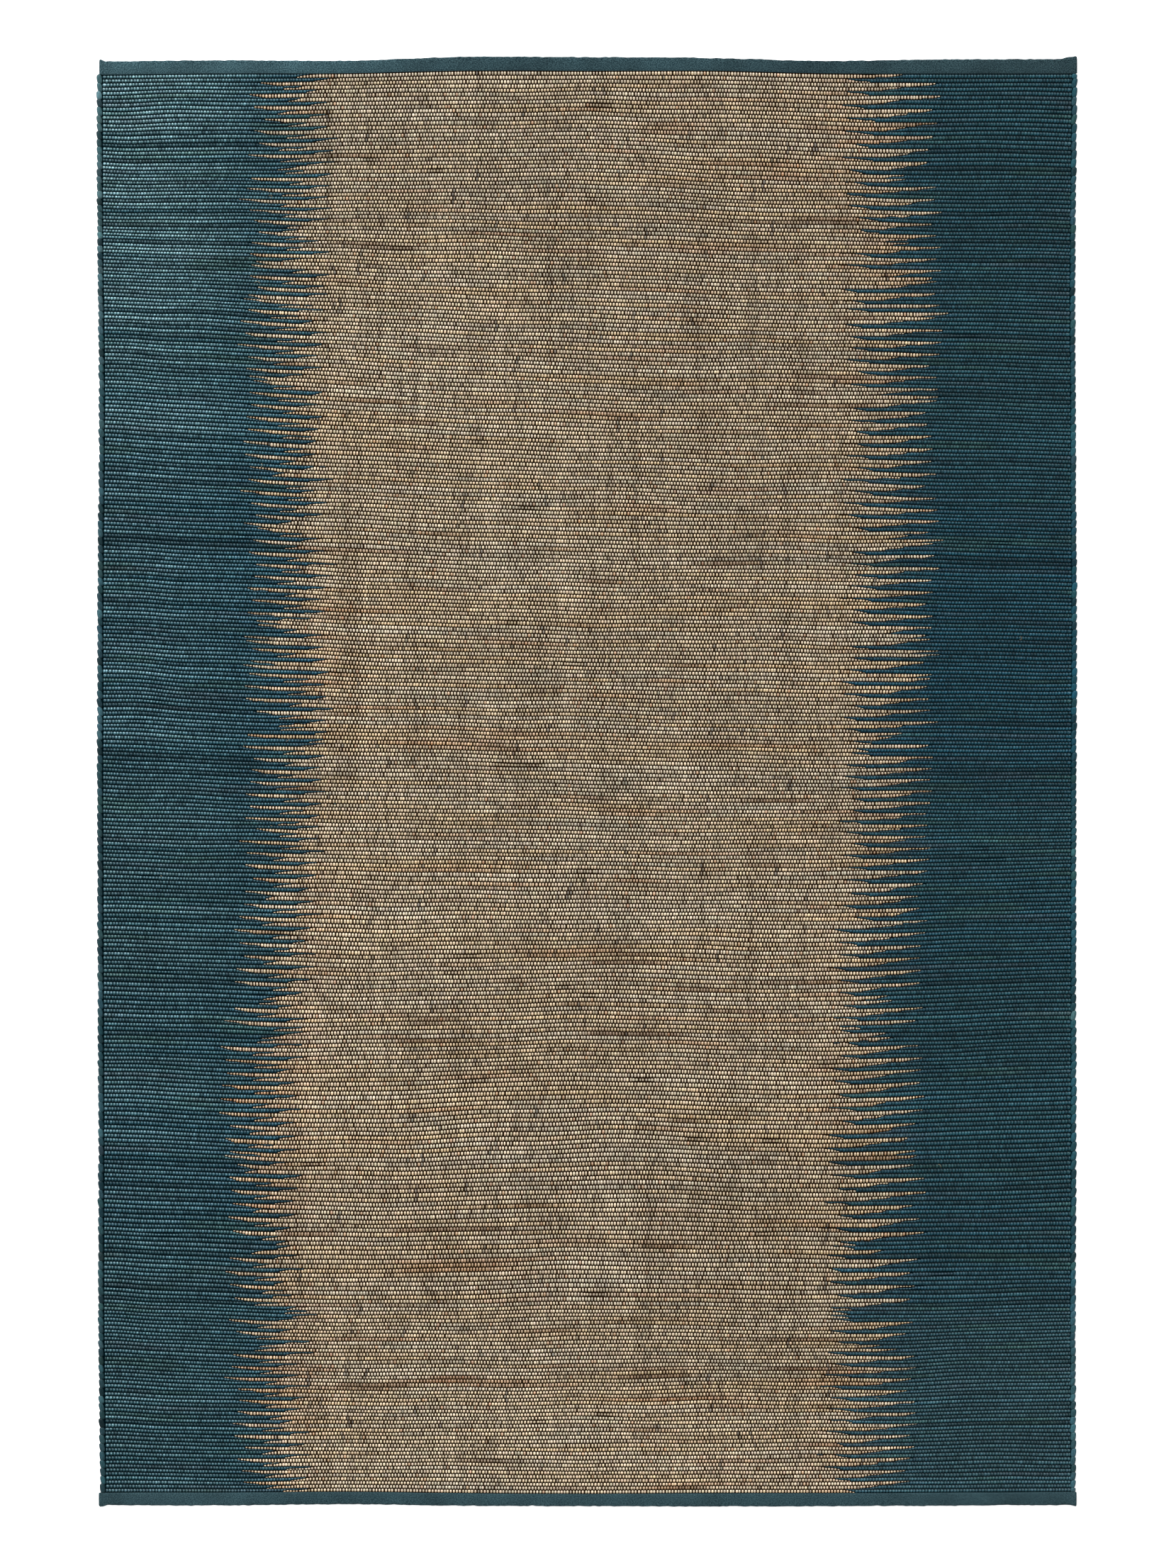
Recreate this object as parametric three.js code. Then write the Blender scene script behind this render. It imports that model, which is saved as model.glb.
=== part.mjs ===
// A jute rug of about 2 m by 3 m, woven by hand in one piece. Thick soft weft rows are packed
// over a hidden warp, with a dark teal zone along each side and a natural zone between them.
// Along each side the weft turns round an edge cord, and each end is bound with a folded tape.
//
// Millimetres. X runs across the rug, Y along it and Z up. The origin is on the floor at the
// centre. The end at +Y is called far and the end at -Y near, the side at -X left and the
// other one right. A share runs from 0 at the far tape to 1 at the near tape, and across
// runs from -1 at the left side of the rows to 1 at their right side.

import * as THREE from 'three';

// Driving dimensions

const rugWidth = 2028;
const crestHeight = 8;
const valleyHeight = 6;

// The weave: 350 rows, packed more and less tightly along the rug
const rowBands = [
  { rows: 50, pitch: 8.4 },
  { rows: 50, pitch: 8.4 },
  { rows: 50, pitch: 8.2 },
  { rows: 50, pitch: 8.1 },
  { rows: 50, pitch: 8.6 },
  { rows: 50, pitch: 9.3 },
  { rows: 50, pitch: 8.0 },
];

// How far the rows sink towards the near end, against the middle of the rug
const rowSag = [
  { share: 0.0, left: 0, leftMiddle: 0, middle: 0, rightMiddle: 0, right: 0 },
  { share: 0.07, left: -6, leftMiddle: -2, middle: 0, rightMiddle: 13, right: 20 },
  { share: 0.16, left: -44, leftMiddle: -19, middle: 0, rightMiddle: 7, right: 14 },
  { share: 0.25, left: -55, leftMiddle: -25, middle: 0, rightMiddle: 4, right: 14 },
  { share: 0.34, left: -43, leftMiddle: -18, middle: 0, rightMiddle: 2, right: 13 },
  { share: 0.47, left: -28, leftMiddle: -10, middle: 0, rightMiddle: 6, right: 11 },
  { share: 0.56, left: -19, leftMiddle: -4, middle: 0, rightMiddle: 2, right: -2 },
  { share: 0.7, left: -3, leftMiddle: 12, middle: 0, rightMiddle: 7, right: -6 },
  { share: 0.83, left: -6, leftMiddle: 10, middle: 0, rightMiddle: 7, right: 4 },
  { share: 0.92, left: -7, leftMiddle: 6, middle: 0, rightMiddle: 1, right: -3 },
  { share: 1.0, left: 0, leftMiddle: 0, middle: 0, rightMiddle: 0, right: 0 },
];

// How far each side stands out past the nominal width, along the rug
const sideLine = [
  { share: 0.0, left: 2.2, right: 2.5 },
  { share: 0.125, left: 1.2, right: -1.3 },
  { share: 0.25, left: -2.5, right: -0.4 },
  { share: 0.375, left: 0.7, right: 1.9 },
  { share: 0.5, left: 1.2, right: 0.6 },
  { share: 0.625, left: 0.5, right: 0.0 },
  { share: 0.75, left: -1.0, right: 0.5 },
  { share: 0.875, left: -0.8, right: -0.9 },
  { share: 1.0, left: -5.0, right: -0.3 },
];

// How far each tape's fold and inner edge stand out from their nominal lines, across the rug
const endLine = [
  { across: -1.0, farFold: -5.1, farEdge: -4.7, nearFold: -1.8, nearEdge: -1.0 },
  { across: -0.75, farFold: -2.8, farEdge: -2.0, nearFold: -1.2, nearEdge: -1.0 },
  { across: -0.5, farFold: -3.5, farEdge: -1.5, nearFold: -3.2, nearEdge: -2.5 },
  { across: -0.25, farFold: 4.6, farEdge: 3.9, nearFold: -0.3, nearEdge: 0.4 },
  { across: 0.0, farFold: 4.1, farEdge: 3.4, nearFold: 0.4, nearEdge: 1.9 },
  { across: 0.25, farFold: 2.2, farEdge: 3.9, nearFold: 1.2, nearEdge: 0.4 },
  { across: 0.5, farFold: -3.7, farEdge: -2.0, nearFold: 0.4, nearEdge: 0.4 },
  { across: 0.75, farFold: -0.7, farEdge: -2.2, nearFold: -0.3, nearEdge: -1.0 },
  { across: 1.0, farFold: 0.0, farEdge: -2.2, nearFold: -1.8, nearEdge: -2.5 },
];

// The selvedge: an edge cord wound by the weft, one loop to every two rows
const cordWidth = 12;
const cordHeight = 8.5;
const cordDip = 1.6;
const cordScallop = 2.4;
const cordMiddle = 4;
const cordGroove = 5;
const cordFoot = 3;
const shoulderIn = cordWidth + 2;

// The end tapes: cloth folded over the thinned end of the weave. Each fold's nominal line lies at
// its reach from the origin, so that the outermost points of both ends lie equally far out
const tapeCloth = 1.2;
const tapeHeight = 6.4;
const tapeClearance = 0.3;
const foldRoom = 6;
const farTape = {
  sign: 1,
  reach: 1497.6,
  shown: 29.4,
  fold: 'farFold',
  edge: 'farEdge',
  left: { end: -1011, earReach: 5, earLength: 14 },
  right: { end: 1016, earReach: 6, earLength: 42 },
};
const nearTape = {
  sign: -1,
  reach: 1502.4,
  shown: 27.2,
  fold: 'nearFold',
  edge: 'nearEdge',
  left: { end: -1012, earReach: 3, earLength: 24 },
  right: { end: 1015, earReach: 3, earLength: 12 },
};

// How finely the solids are drawn
const linesInRow = 2;
const linesInLoop = 4;
const settlingLines = 12;
const tapeSteps = 32;
const foldSteps = 4;
const cornerSteps = [0, 4, 9];
const leastStep = 1;

const rowCount = rowBands.reduce((sum, band) => sum + band.rows, 0);
const lastLine = rowCount * linesInRow;
const coarse = [-1, -0.5, 0, 0.5, 1];
const fine = endLine.map((station) => station.across);
const sagColumns = ['left', 'leftMiddle', 'middle', 'rightMiddle', 'right'];

const mix = (from, to, part) => from + (to - from) * part;
const clamp = THREE.MathUtils.clamp;

// A column of a table as a smooth curve through its rows
function smoothAt(table, place, column, at) {
  const last = table.length - 1;
  let k = 0;
  while (k < last - 1 && at > table[k + 1][place]) k += 1;
  const before = table[Math.max(k - 1, 0)];
  const here = table[k];
  const next = table[k + 1];
  const after = table[Math.min(k + 2, last)];
  const step = next[place] - here[place];
  const slopeHere = (step * (next[column] - before[column])) / (next[place] - before[place]);
  const slopeNext = (step * (after[column] - here[column])) / (after[place] - here[place]);
  const t = clamp((at - here[place]) / step, 0, 1);
  const rise = t * t * (3 - 2 * t);
  return (
    mix(here[column], next[column], rise)
    + slopeHere * t * (1 - t) * (1 - t)
    - slopeNext * t * t * (1 - t)
  );
}

// Values at stations across the rug, joined by straight lines
function straightAt(stations, values, across) {
  let k = 0;
  while (k < stations.length - 2 && across > stations[k + 1]) k += 1;
  const part = clamp((across - stations[k]) / (stations[k + 1] - stations[k]), 0, 1);
  return mix(values[k], values[k + 1], part);
}

// The share of the woven length that lies before a row
function shareAt(row) {
  let covered = 0;
  let whole = 0;
  let first = 0;
  for (const band of rowBands) {
    covered += clamp(row - first, 0, band.rows) * band.pitch;
    whole += band.rows * band.pitch;
    first += band.rows;
  }
  return covered / whole;
}

const sideX = (side, share) => rugWidth / 2 + smoothAt(sideLine, 'share', side, share);

// The line along which a tape's inner edge meets the rows, seen at the given stations
function edgeY(tape, stations, across) {
  const nominal = tape.reach - tape.shown;
  const values = stations.map((station) => {
    const row = endLine.find((entry) => entry.across === station);
    return tape.sign * (nominal + row[tape.edge]);
  });
  return straightAt(stations, values, across);
}

// The edge line as the rows near a tape take it: they settle to the coarse stations
function settledY(tape, linesAway, across) {
  const settled = clamp(linesAway / settlingLines, 0, 1);
  return mix(edgeY(tape, fine, across), edgeY(tape, coarse, across), settled);
}

function rowY(line, across) {
  const share = shareAt(line / linesInRow);
  const farY = settledY(farTape, line, across);
  const nearY = settledY(nearTape, lastLine - line, across);
  const sags = sagColumns.map((column) => smoothAt(rowSag, 'share', column, share));
  return mix(farY, nearY, share) - straightAt(coarse, sags, across);
}

// A closed body, put together from strips between lines of shared points
class Shell {
  constructor() {
    this.positions = [];
    this.faces = [];
  }

  point(key, x, y, z) {
    this.positions.push(x, y, z);
    return { key, id: this.positions.length / 3 - 1, x, y, z };
  }

  // Faces between two lines that run the same way, the second one on the left seen from outside
  strip(right, left) {
    let r = 0;
    let l = 0;
    while (r < right.length - 1 || l < left.length - 1) {
      const rightNext = r < right.length - 1 ? right[r].key + right[r + 1].key : Infinity;
      const leftNext = l < left.length - 1 ? left[l].key + left[l + 1].key : Infinity;
      if (rightNext <= leftNext) {
        this.faces.push(right[r].id, right[r + 1].id, left[l].id);
        r += 1;
      } else {
        this.faces.push(right[r].id, left[l + 1].id, left[l].id);
        l += 1;
      }
    }
  }

  // The same faces at either end of the rug: near, the second line is on the right instead
  stripAtEnd(tape, right, left) {
    if (tape.sign > 0) this.strip(right, left);
    else this.strip(left, right);
  }

  mesh(name, material) {
    const geometry = new THREE.BufferGeometry();
    geometry.setAttribute('position', new THREE.Float32BufferAttribute(this.positions, 3));
    geometry.setIndex(this.faces);
    geometry.computeVertexNormals();
    const mesh = new THREE.Mesh(geometry, material);
    mesh.name = name;
    return mesh;
  }
}

// The woven cloth

// The rows: a line of points along each crest and each valley
function rowLine(shell, line) {
  const nearAnEnd = Math.min(line, lastLine - line) < settlingLines;
  const share = shareAt(line / linesInRow);
  const height = line % linesInRow === 0 ? valleyHeight : crestHeight;
  const leftX = shoulderIn - sideX('left', share);
  const rightX = sideX('right', share) - shoulderIn;
  return (nearAnEnd ? fine : coarse).map((across) => {
    const x = mix(leftX, rightX, (across + 1) / 2);
    return shell.point(across, x, rowY(line, across), height);
  });
}

// One side's edge cord: its groove, top, middle and foot, with a dip between two loops
function selvedge(shell, side, firstLoop) {
  const sign = side === 'left' ? -1 : 1;
  const lines = { groove: [], top: [], middle: [], foot: [] };
  const add = (name, line, inward, height) => {
    const x = sign * (sideX(side, shareAt(line / linesInRow)) - inward);
    lines[name].push(shell.point(line, x, rowY(line, sign), height));
  };
  const bounds = [0];
  for (let line = firstLoop; line < lastLine; line += linesInLoop) bounds.push(line);
  bounds.push(lastLine);
  bounds.forEach((line, k) => {
    add('groove', line, cordWidth, cordGroove);
    add('top', line, cordWidth / 2, cordHeight - cordDip);
    add('middle', line, cordScallop, cordMiddle);
    add('foot', line, cordFoot, 0);
    if (k < bounds.length - 1) {
      const crest = (line + bounds[k + 1]) / 2;
      add('top', crest, cordWidth / 2, cordHeight);
      add('middle', crest, 0, cordMiddle);
    }
  });
  return lines;
}

// The thinned end of the weave that lies inside a tape
function tongue(shell, tape, edge) {
  const low = tapeCloth + tapeClearance;
  const high = tapeHeight - low;
  const wall = (right, left) => shell.stripAtEnd(tape, right, left);
  const level = (height, reachOut) => edge.rows.map((from, k) => {
    const foldY = tape.sign * (tape.reach + endLine[k][tape.fold] - foldRoom);
    return shell.point(from.key, from.x, reachOut ? foldY : from.y, height);
  });
  const rootTop = level(high, false);
  const rootUnder = level(low, false);
  const tipTop = level(high, true);
  const tipUnder = level(low, true);
  const sideOf = (top, under, k) => [{ ...top.at(k), key: 0 }, { ...under.at(k), key: 1 }];

  wall(edge.rows, rootTop);
  wall(rootTop, tipTop);
  wall(tipTop, tipUnder);
  wall(tipUnder, rootUnder);
  wall(rootUnder, edge.underside);
  wall(edge.rightSide, sideOf(rootTop, rootUnder, -1));
  wall(sideOf(rootTop, rootUnder, -1), sideOf(tipTop, tipUnder, -1));
  wall(sideOf(rootTop, rootUnder, 0), edge.leftSide);
  wall(sideOf(tipTop, tipUnder, 0), sideOf(rootTop, rootUnder, 0));
}

// A section of the cord from the rows down to the foot, as a line that runs downwards
function downTheCord(rowEnd, cord, k) {
  const section = [rowEnd, cord.groove.at(k), cord.top.at(k), cord.middle.at(k), cord.foot.at(k)];
  return section.map((point, place) => ({ ...point, key: place / (section.length - 1) }));
}

function wovenField() {
  const shell = new Shell();
  const rows = [];
  for (let line = 0; line <= lastLine; line += 1) rows.push(rowLine(shell, line));
  const left = selvedge(shell, 'left', linesInLoop);
  const right = selvedge(shell, 'right', linesInLoop / 2);

  for (let line = 0; line < lastLine; line += 1) shell.strip(rows[line + 1], rows[line]);

  const rightShoulder = rows.map((points, line) => ({ ...points.at(-1), key: line }));
  const leftShoulder = rows.map((points, line) => ({ ...points[0], key: line }));
  shell.strip(rightShoulder, right.groove);
  shell.strip(right.groove, right.top);
  shell.strip(right.top, right.middle);
  shell.strip(right.middle, right.foot);
  shell.strip(left.groove, leftShoulder);
  shell.strip(left.top, left.groove);
  shell.strip(left.middle, left.top);
  shell.strip(left.foot, left.middle);

  // The flat underside, and its ends, which follow the tapes' inner edges
  shell.strip(right.foot.slice(1, -1), left.foot.slice(1, -1));
  const undersideEnd = (k, line) => {
    const between = rows[line].slice(1, -1).map((top) => shell.point(top.key, top.x, top.y, 0));
    return [{ ...left.foot.at(k), key: -1 }, ...between, { ...right.foot.at(k), key: 1 }];
  };
  const farUnder = undersideEnd(0, 0);
  const nearUnder = undersideEnd(-1, lastLine);
  const acrossAt = (k) => [{ ...left.foot.at(k), key: -1 }, { ...right.foot.at(k), key: 1 }];
  shell.strip(farUnder, acrossAt(1));
  shell.strip(acrossAt(-2), nearUnder);

  tongue(shell, farTape, {
    rows: rows[0],
    underside: farUnder,
    leftSide: downTheCord(rows[0][0], left, 0),
    rightSide: downTheCord(rows[0].at(-1), right, 0),
  });
  tongue(shell, nearTape, {
    rows: rows[lastLine],
    underside: nearUnder,
    leftSide: downTheCord(rows[lastLine][0], left, -1),
    rightSide: downTheCord(rows[lastLine].at(-1), right, -1),
  });
  return shell;
}

// The folded tapes

// The fold of a tape's cloth, from the floor round to the top, at a distance inside its face
function foldLine(shell, x, edge, reach, sign, inset) {
  const radius = tapeHeight / 2;
  const line = [shell.point(0, x, edge, inset)];
  for (let k = 0; k <= foldSteps; k += 1) {
    const angle = Math.PI * (k / foldSteps - 1 / 2);
    const out = reach - radius + (radius - inset) * Math.cos(angle);
    const height = radius + (radius - inset) * Math.sin(angle);
    line.push(shell.point(k + 1, x, edge + sign * out, height));
  }
  line.push(shell.point(foldSteps + 2, x, edge, tapeHeight - inset));
  return line;
}

// How far the turned-in end of a tape pokes out past its fold line
function ear(corner, x) {
  const inside = clamp(1 - Math.abs(x - corner.end) / corner.earLength, 0, 1);
  return corner.earReach * inside * inside;
}

// The places across the rug where a tape is drawn, with three more at each corner
function tapePlaces(tape) {
  const rowsLeft = shoulderIn - rugWidth / 2;
  const places = [];
  for (let k = 0; k <= tapeSteps; k += 1) places.push(mix(rowsLeft, -rowsLeft, k / tapeSteps));
  const corner = (end, inwards) => cornerSteps.map((step) => end + inwards * step);
  const leftCorner = corner(tape.left.end, 1);
  const rightCorner = corner(tape.right.end, -1).reverse();
  const first = leftCorner.at(-1) + leastStep;
  const last = rightCorner[0] - leastStep;
  return [...leftCorner, ...places.filter((x) => x > first && x < last), ...rightCorner];
}

function foldedTape(tape) {
  const shell = new Shell();
  const sections = tapePlaces(tape).map((x) => {
    const across = clamp(x / (rugWidth / 2 - shoulderIn), -1, 1);
    const edge = edgeY(tape, fine, across) + tape.sign * tapeClearance;
    const wave = smoothAt(endLine, 'across', tape.fold, across);
    const fold = tape.reach + wave + ear(tape.left, x) + ear(tape.right, x);
    const reach = fold - Math.abs(edge);
    const outside = foldLine(shell, x, edge, reach, tape.sign, 0);
    const inside = foldLine(shell, x, edge, reach, tape.sign, tapeCloth);
    return { outside, inside };
  });
  const wall = (right, left) => shell.stripAtEnd(tape, right, left);
  for (let k = 0; k < sections.length - 1; k += 1) {
    const here = sections[k];
    const next = sections[k + 1];
    const firsts = (a, b) => [{ ...a[0], key: 0 }, { ...b[0], key: 1 }];
    const lasts = (a, b) => [{ ...a.at(-1), key: 0 }, { ...b.at(-1), key: 1 }];
    wall(here.outside, next.outside);
    wall(next.inside, here.inside);
    wall(firsts(next.outside, next.inside), firsts(here.outside, here.inside));
    wall(lasts(here.outside, here.inside), lasts(next.outside, next.inside));
  }
  wall(sections[0].inside, sections[0].outside);
  wall(sections.at(-1).outside, sections.at(-1).inside);
  return shell;
}

// Finishes, and the rug itself

const naturalJute = new THREE.MeshStandardMaterial({ color: 0xb8a684, roughness: 0.95, metalness: 0 });
const tealTape = new THREE.MeshStandardMaterial({ color: 0x37505a, roughness: 0.9, metalness: 0 });

const group = new THREE.Group();
group.name = 'jute_rug';
group.add(wovenField().mesh('rug_field', naturalJute));
group.add(foldedTape(farTape).mesh('binding_far', tealTape));
group.add(foldedTape(nearTape).mesh('binding_near', tealTape.clone()));

export default group;
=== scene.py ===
# %% [markdown]
# # A hand-woven jute rug
#
# The rug is one piece of weft-faced cloth, about 2 m by 3 m. Thick jute yarn, the weft, goes over
# and under a thin warp and is beaten down so hard that the warp is hidden. What shows is a field
# of small beads, one wherever the weft passes over a warp. The middle is undyed and the sides are
# teal. Each row changes yarn at both joins, in turns of three lengths, so the joins look toothed.
#
# The scene makes these pieces, from the inside outwards:
#
# 1. the warp ground, a thin sheet in the middle of the thickness, in a painted shade colour,
# 2. the wefts, one ribbon of beads for each yarn of each row,
# 3. the underside of the rows,
# 4. the two selvedges, where the weft turns round an edge cord,
# 5. the folded tape at each end, and a few loose fibres.

# %% Load the frame
import math

import bpy
import numpy as np
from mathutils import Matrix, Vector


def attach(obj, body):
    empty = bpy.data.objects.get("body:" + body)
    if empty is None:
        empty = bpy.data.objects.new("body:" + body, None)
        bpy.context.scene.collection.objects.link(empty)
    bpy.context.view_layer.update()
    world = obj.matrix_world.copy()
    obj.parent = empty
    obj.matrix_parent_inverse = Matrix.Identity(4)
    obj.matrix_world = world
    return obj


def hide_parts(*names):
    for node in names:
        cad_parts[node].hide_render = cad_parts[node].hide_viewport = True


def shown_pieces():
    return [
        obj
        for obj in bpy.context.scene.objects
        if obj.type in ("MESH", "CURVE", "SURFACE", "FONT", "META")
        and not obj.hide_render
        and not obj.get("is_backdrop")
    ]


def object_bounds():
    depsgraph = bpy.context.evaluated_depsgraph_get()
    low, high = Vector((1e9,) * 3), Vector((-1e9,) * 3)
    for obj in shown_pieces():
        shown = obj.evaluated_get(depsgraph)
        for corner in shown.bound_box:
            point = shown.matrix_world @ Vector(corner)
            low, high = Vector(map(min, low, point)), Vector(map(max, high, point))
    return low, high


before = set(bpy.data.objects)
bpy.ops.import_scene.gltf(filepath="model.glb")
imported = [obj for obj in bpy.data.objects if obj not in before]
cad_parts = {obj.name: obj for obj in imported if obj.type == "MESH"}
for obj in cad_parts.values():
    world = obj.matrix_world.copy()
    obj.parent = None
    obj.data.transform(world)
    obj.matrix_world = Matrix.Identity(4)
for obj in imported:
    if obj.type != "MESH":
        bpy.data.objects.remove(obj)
cad_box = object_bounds()
MM = 0.001
print("nodes:", sorted(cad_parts), "box:", cad_box)

# %% [markdown]
# ## The camera
#
# The rug was photographed from straight above. A wide lens would show its sides leaning outwards,
# so the camera has a long lens and stands far up. Its height follows from the lens: the sensor's
# long side sees the picture's long side. The picture's middle lies a little off the rug's.

# %% Camera
PICTURE_HEIGHT = 2212      # pixels
MM_PER_PIXEL = 1.47
LENS = 150                 # mm
SENSOR = 36                # mm
PICTURE_CENTRE = (2.2, -5.6)   # mm on the floor, from the middle of the rug

camera_data = bpy.data.cameras.new("camera")
camera_data.lens = LENS
camera_data.sensor_width = SENSOR
camera = bpy.data.objects.new("camera", camera_data)
bpy.context.scene.collection.objects.link(camera)
camera_height = PICTURE_HEIGHT * MM_PER_PIXEL * LENS / SENSOR
camera.location = np.array([*PICTURE_CENTRE, camera_height]) * MM
bpy.context.scene.camera = camera
print(f"camera {camera.location.z:.2f} m above the floor")

# %% [markdown]
# ## The plan of the weave
#
# The rows are never quite straight: they sink and rise across the rug, and they are packed more
# tightly in some places. A few measured tables hold this, with smooth curves through them. A share
# runs from 0 at the far tape to 1 at the near one, and across from -1 at the left to 1 at the
# right. All lengths are in millimetres until a mesh is made.

# %% Tables of the weave
RUG_WIDTH = 2028
ROW_BANDS = [(50, 8.4), (50, 8.4), (50, 8.2), (50, 8.1), (50, 8.6), (50, 9.3), (50, 8.0)]

# share, then how far the rows sink at the left, left middle, middle, right middle and right
ROW_SAG = np.array([
    (0.0, 0, 0, 0, 0, 0),
    (0.07, -6, -2, 0, 13, 20),
    (0.16, -44, -19, 0, 7, 14),
    (0.25, -55, -25, 0, 4, 14),
    (0.34, -43, -18, 0, 2, 13),
    (0.47, -28, -10, 0, 6, 11),
    (0.56, -19, -4, 0, 2, -2),
    (0.7, -3, 12, 0, 7, -6),
    (0.83, -6, 10, 0, 7, 4),
    (0.92, -7, 6, 0, 1, -3),
    (1.0, 0, 0, 0, 0, 0),
])

# share, then how far the left and the right side stand out
SIDE_LINE = np.array([
    (0.0, 2.2, 2.5),
    (0.125, 1.2, -1.3),
    (0.25, -2.5, -0.4),
    (0.375, 0.7, 1.9),
    (0.5, 1.2, 0.6),
    (0.625, 0.5, 0.0),
    (0.75, -1.0, 0.5),
    (0.875, -0.8, -0.9),
    (1.0, -5.0, -0.3),
])

# across, then how far the far fold, far edge, near fold and near edge stand out
END_LINE = np.array([
    (-1.0, -5.1, -4.7, -1.8, -1.0),
    (-0.75, -2.8, -2.0, -1.2, -1.0),
    (-0.5, -3.5, -1.5, -3.2, -2.5),
    (-0.25, 4.6, 3.9, -0.3, 0.4),
    (0.0, 4.1, 3.4, 0.4, 1.9),
    (0.25, 2.2, 3.9, 1.2, 0.4),
    (0.5, -3.7, -2.0, 0.4, 0.4),
    (0.75, -0.7, -2.2, -0.3, -1.0),
    (1.0, 0.0, -2.2, -1.8, -2.5),
])

# share, then the middle of each join: natural reaching far, midway and least to the left,
# then least, midway and far to the right
JOINS = np.array([
    (0.0, -660, -602, -548, 558, 632, 690),
    (0.07, -670, -606, -551, 562, 636, 696),
    (0.16, -684, -610, -552, 558, 634, 698),
    (0.25, -680, -612, -562, 560, 634, 694),
    (0.34, -676, -610, -556, 560, 634, 696),
    (0.45, -674, -606, -552, 552, 628, 684),
    (0.54, -680, -616, -566, 550, 626, 682),
    (0.62, -702, -644, -588, 538, 606, 666),
    (0.72, -726, -674, -618, 528, 598, 662),
    (0.8, -718, -666, -618, 526, 596, 658),
    (0.9, -712, -656, -606, 522, 594, 654),
    (1.0, -700, -640, -592, 520, 582, 646),
])
print("sag at", len(ROW_SAG), "places along the rug, joins at", len(JOINS))


# %% Smooth curves
def smooth_at(places, values, at):
    """A smooth curve through values at these places, read at other places."""
    places, values = np.asarray(places, float), np.asarray(values, float)
    order = np.arange(len(places))
    low, high = np.maximum(order - 1, 0), np.minimum(order + 1, len(places) - 1)
    slopes = (values[high] - values[low]) / (places[high] - places[low])
    at = np.clip(at, places[0], places[-1])
    k = np.clip(np.searchsorted(places, at) - 1, 0, len(places) - 2)
    step = places[k + 1] - places[k]
    t = (at - places[k]) / step
    rise = t * t * (3 - 2 * t)
    bend = slopes[k] * t * (1 - t) ** 2 - slopes[k + 1] * t * t * (1 - t)
    return values[k] + (values[k + 1] - values[k]) * rise + bend * step


# %% Rows
ROWS = sum(rows for rows, _ in ROW_BANDS)
band_ends = np.cumsum([0] + [rows for rows, _ in ROW_BANDS])
band_lengths = np.cumsum([0] + [rows * pitch for rows, pitch in ROW_BANDS])
line_share = np.interp(np.arange(ROWS + 1), band_ends, band_lengths) / band_lengths[-1]
row_share = (line_share[1:] + line_share[:-1]) / 2
print(ROWS, "rows, mean pitch", round(band_lengths[-1] / ROWS, 2), "mm")

# %% [markdown]
# ## Unevenness
#
# Hand work varies in soft waves and not in jumps. Soft noise is white noise with its fine part
# taken away by a Fourier transform. The spread says how many cells a wave covers in each
# direction, so one helper gives short waves, long ones and streaks. Every draw is seeded, so the
# rug comes out the same each time.

# %% Soft noise
def soft_noise(shape, spread, seed):
    """Smooth noise with mean 0 and deviation 1. A spread of 0 leaves that direction white."""
    white = np.random.default_rng(seed).standard_normal(shape)
    down = np.fft.fftfreq(shape[0])[:, None] * spread[0]
    across = np.fft.rfftfreq(shape[1])[None, :] * spread[1]
    kept = np.exp(-2 * math.pi ** 2 * (down ** 2 + across ** 2))
    soft = np.fft.irfft2(np.fft.rfft2(white) * kept, shape)
    return (soft - soft.mean()) / soft.std()


def ease(value, low, high):
    """0 below low, 1 above high and a soft step between."""
    t = np.clip((value - low) / (high - low), 0, 1)
    return t * t * (3 - 2 * t)


# %% [markdown]
# ## The lines between the rows
#
# Row number r lies between line r and line r + 1. A table of y for every line and every warp holds
# them all: the measured sag, then waves that pass on from row to row, then thick and thin places
# of single yarns. Near the tapes the rows follow the tapes' edges.

# %% Lines between rows
WARP_STEP = 3.185          # from one warp to the next
SHOULDER = 14              # the rows end this far inside the rug's side
SETTLING_ROWS = 6
WARPS = 640

# the two tapes: how far out the fold lies, how much tape shows, and the tape's END_LINE columns
FAR = dict(sign=1, reach=1497.6, shown=29.4, fold=1, edge=2)
NEAR = dict(sign=-1, reach=1502.4, shown=27.2, fold=3, edge=4)

# the height of the waves in the rows, their spread in rows and in warps, and the seed
WAVES = ((1.1, (5, 20), 11), (0.28, (0, 9), 12), (0.35, (1, 30), 14))
LEFT_WAVE, LEFT_SPREAD = 1.2, (9, 14)   # the left side waves more
CALM_ROWS = 4

warp_x = (np.arange(WARPS) - (WARPS - 1) / 2) * WARP_STEP
left_side = -(RUG_WIDTH / 2 + smooth_at(SIDE_LINE[:, 0], SIDE_LINE[:, 1], line_share))
right_side = RUG_WIDTH / 2 + smooth_at(SIDE_LINE[:, 0], SIDE_LINE[:, 2], line_share)
rows_from = left_side + SHOULDER
rows_to = right_side - SHOULDER


def tape_edge(tape, across, smooth=True):
    """Where a tape's inner edge lies. Away from the tapes, the rows keep only its broad shape."""
    out = END_LINE[:, tape["edge"]]
    if smooth:
        wave = smooth_at(END_LINE[:, 0], out, across)
    else:
        wave = np.interp(across, END_LINE[::2, 0], out[::2])
    return tape["sign"] * (tape["reach"] - tape["shown"] + wave)


across = 2 * warp_x / (RUG_WIDTH - 2 * SHOULDER)
line_number = np.arange(ROWS + 1)[:, None]


def settled_edge(tape, rows_away):
    """The tape's own edge beside it, and its broad shape a few rows away."""
    part = np.clip(rows_away / SETTLING_ROWS, 0, 1)
    return (1 - part) * tape_edge(tape, across) + part * tape_edge(tape, across, False)


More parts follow.
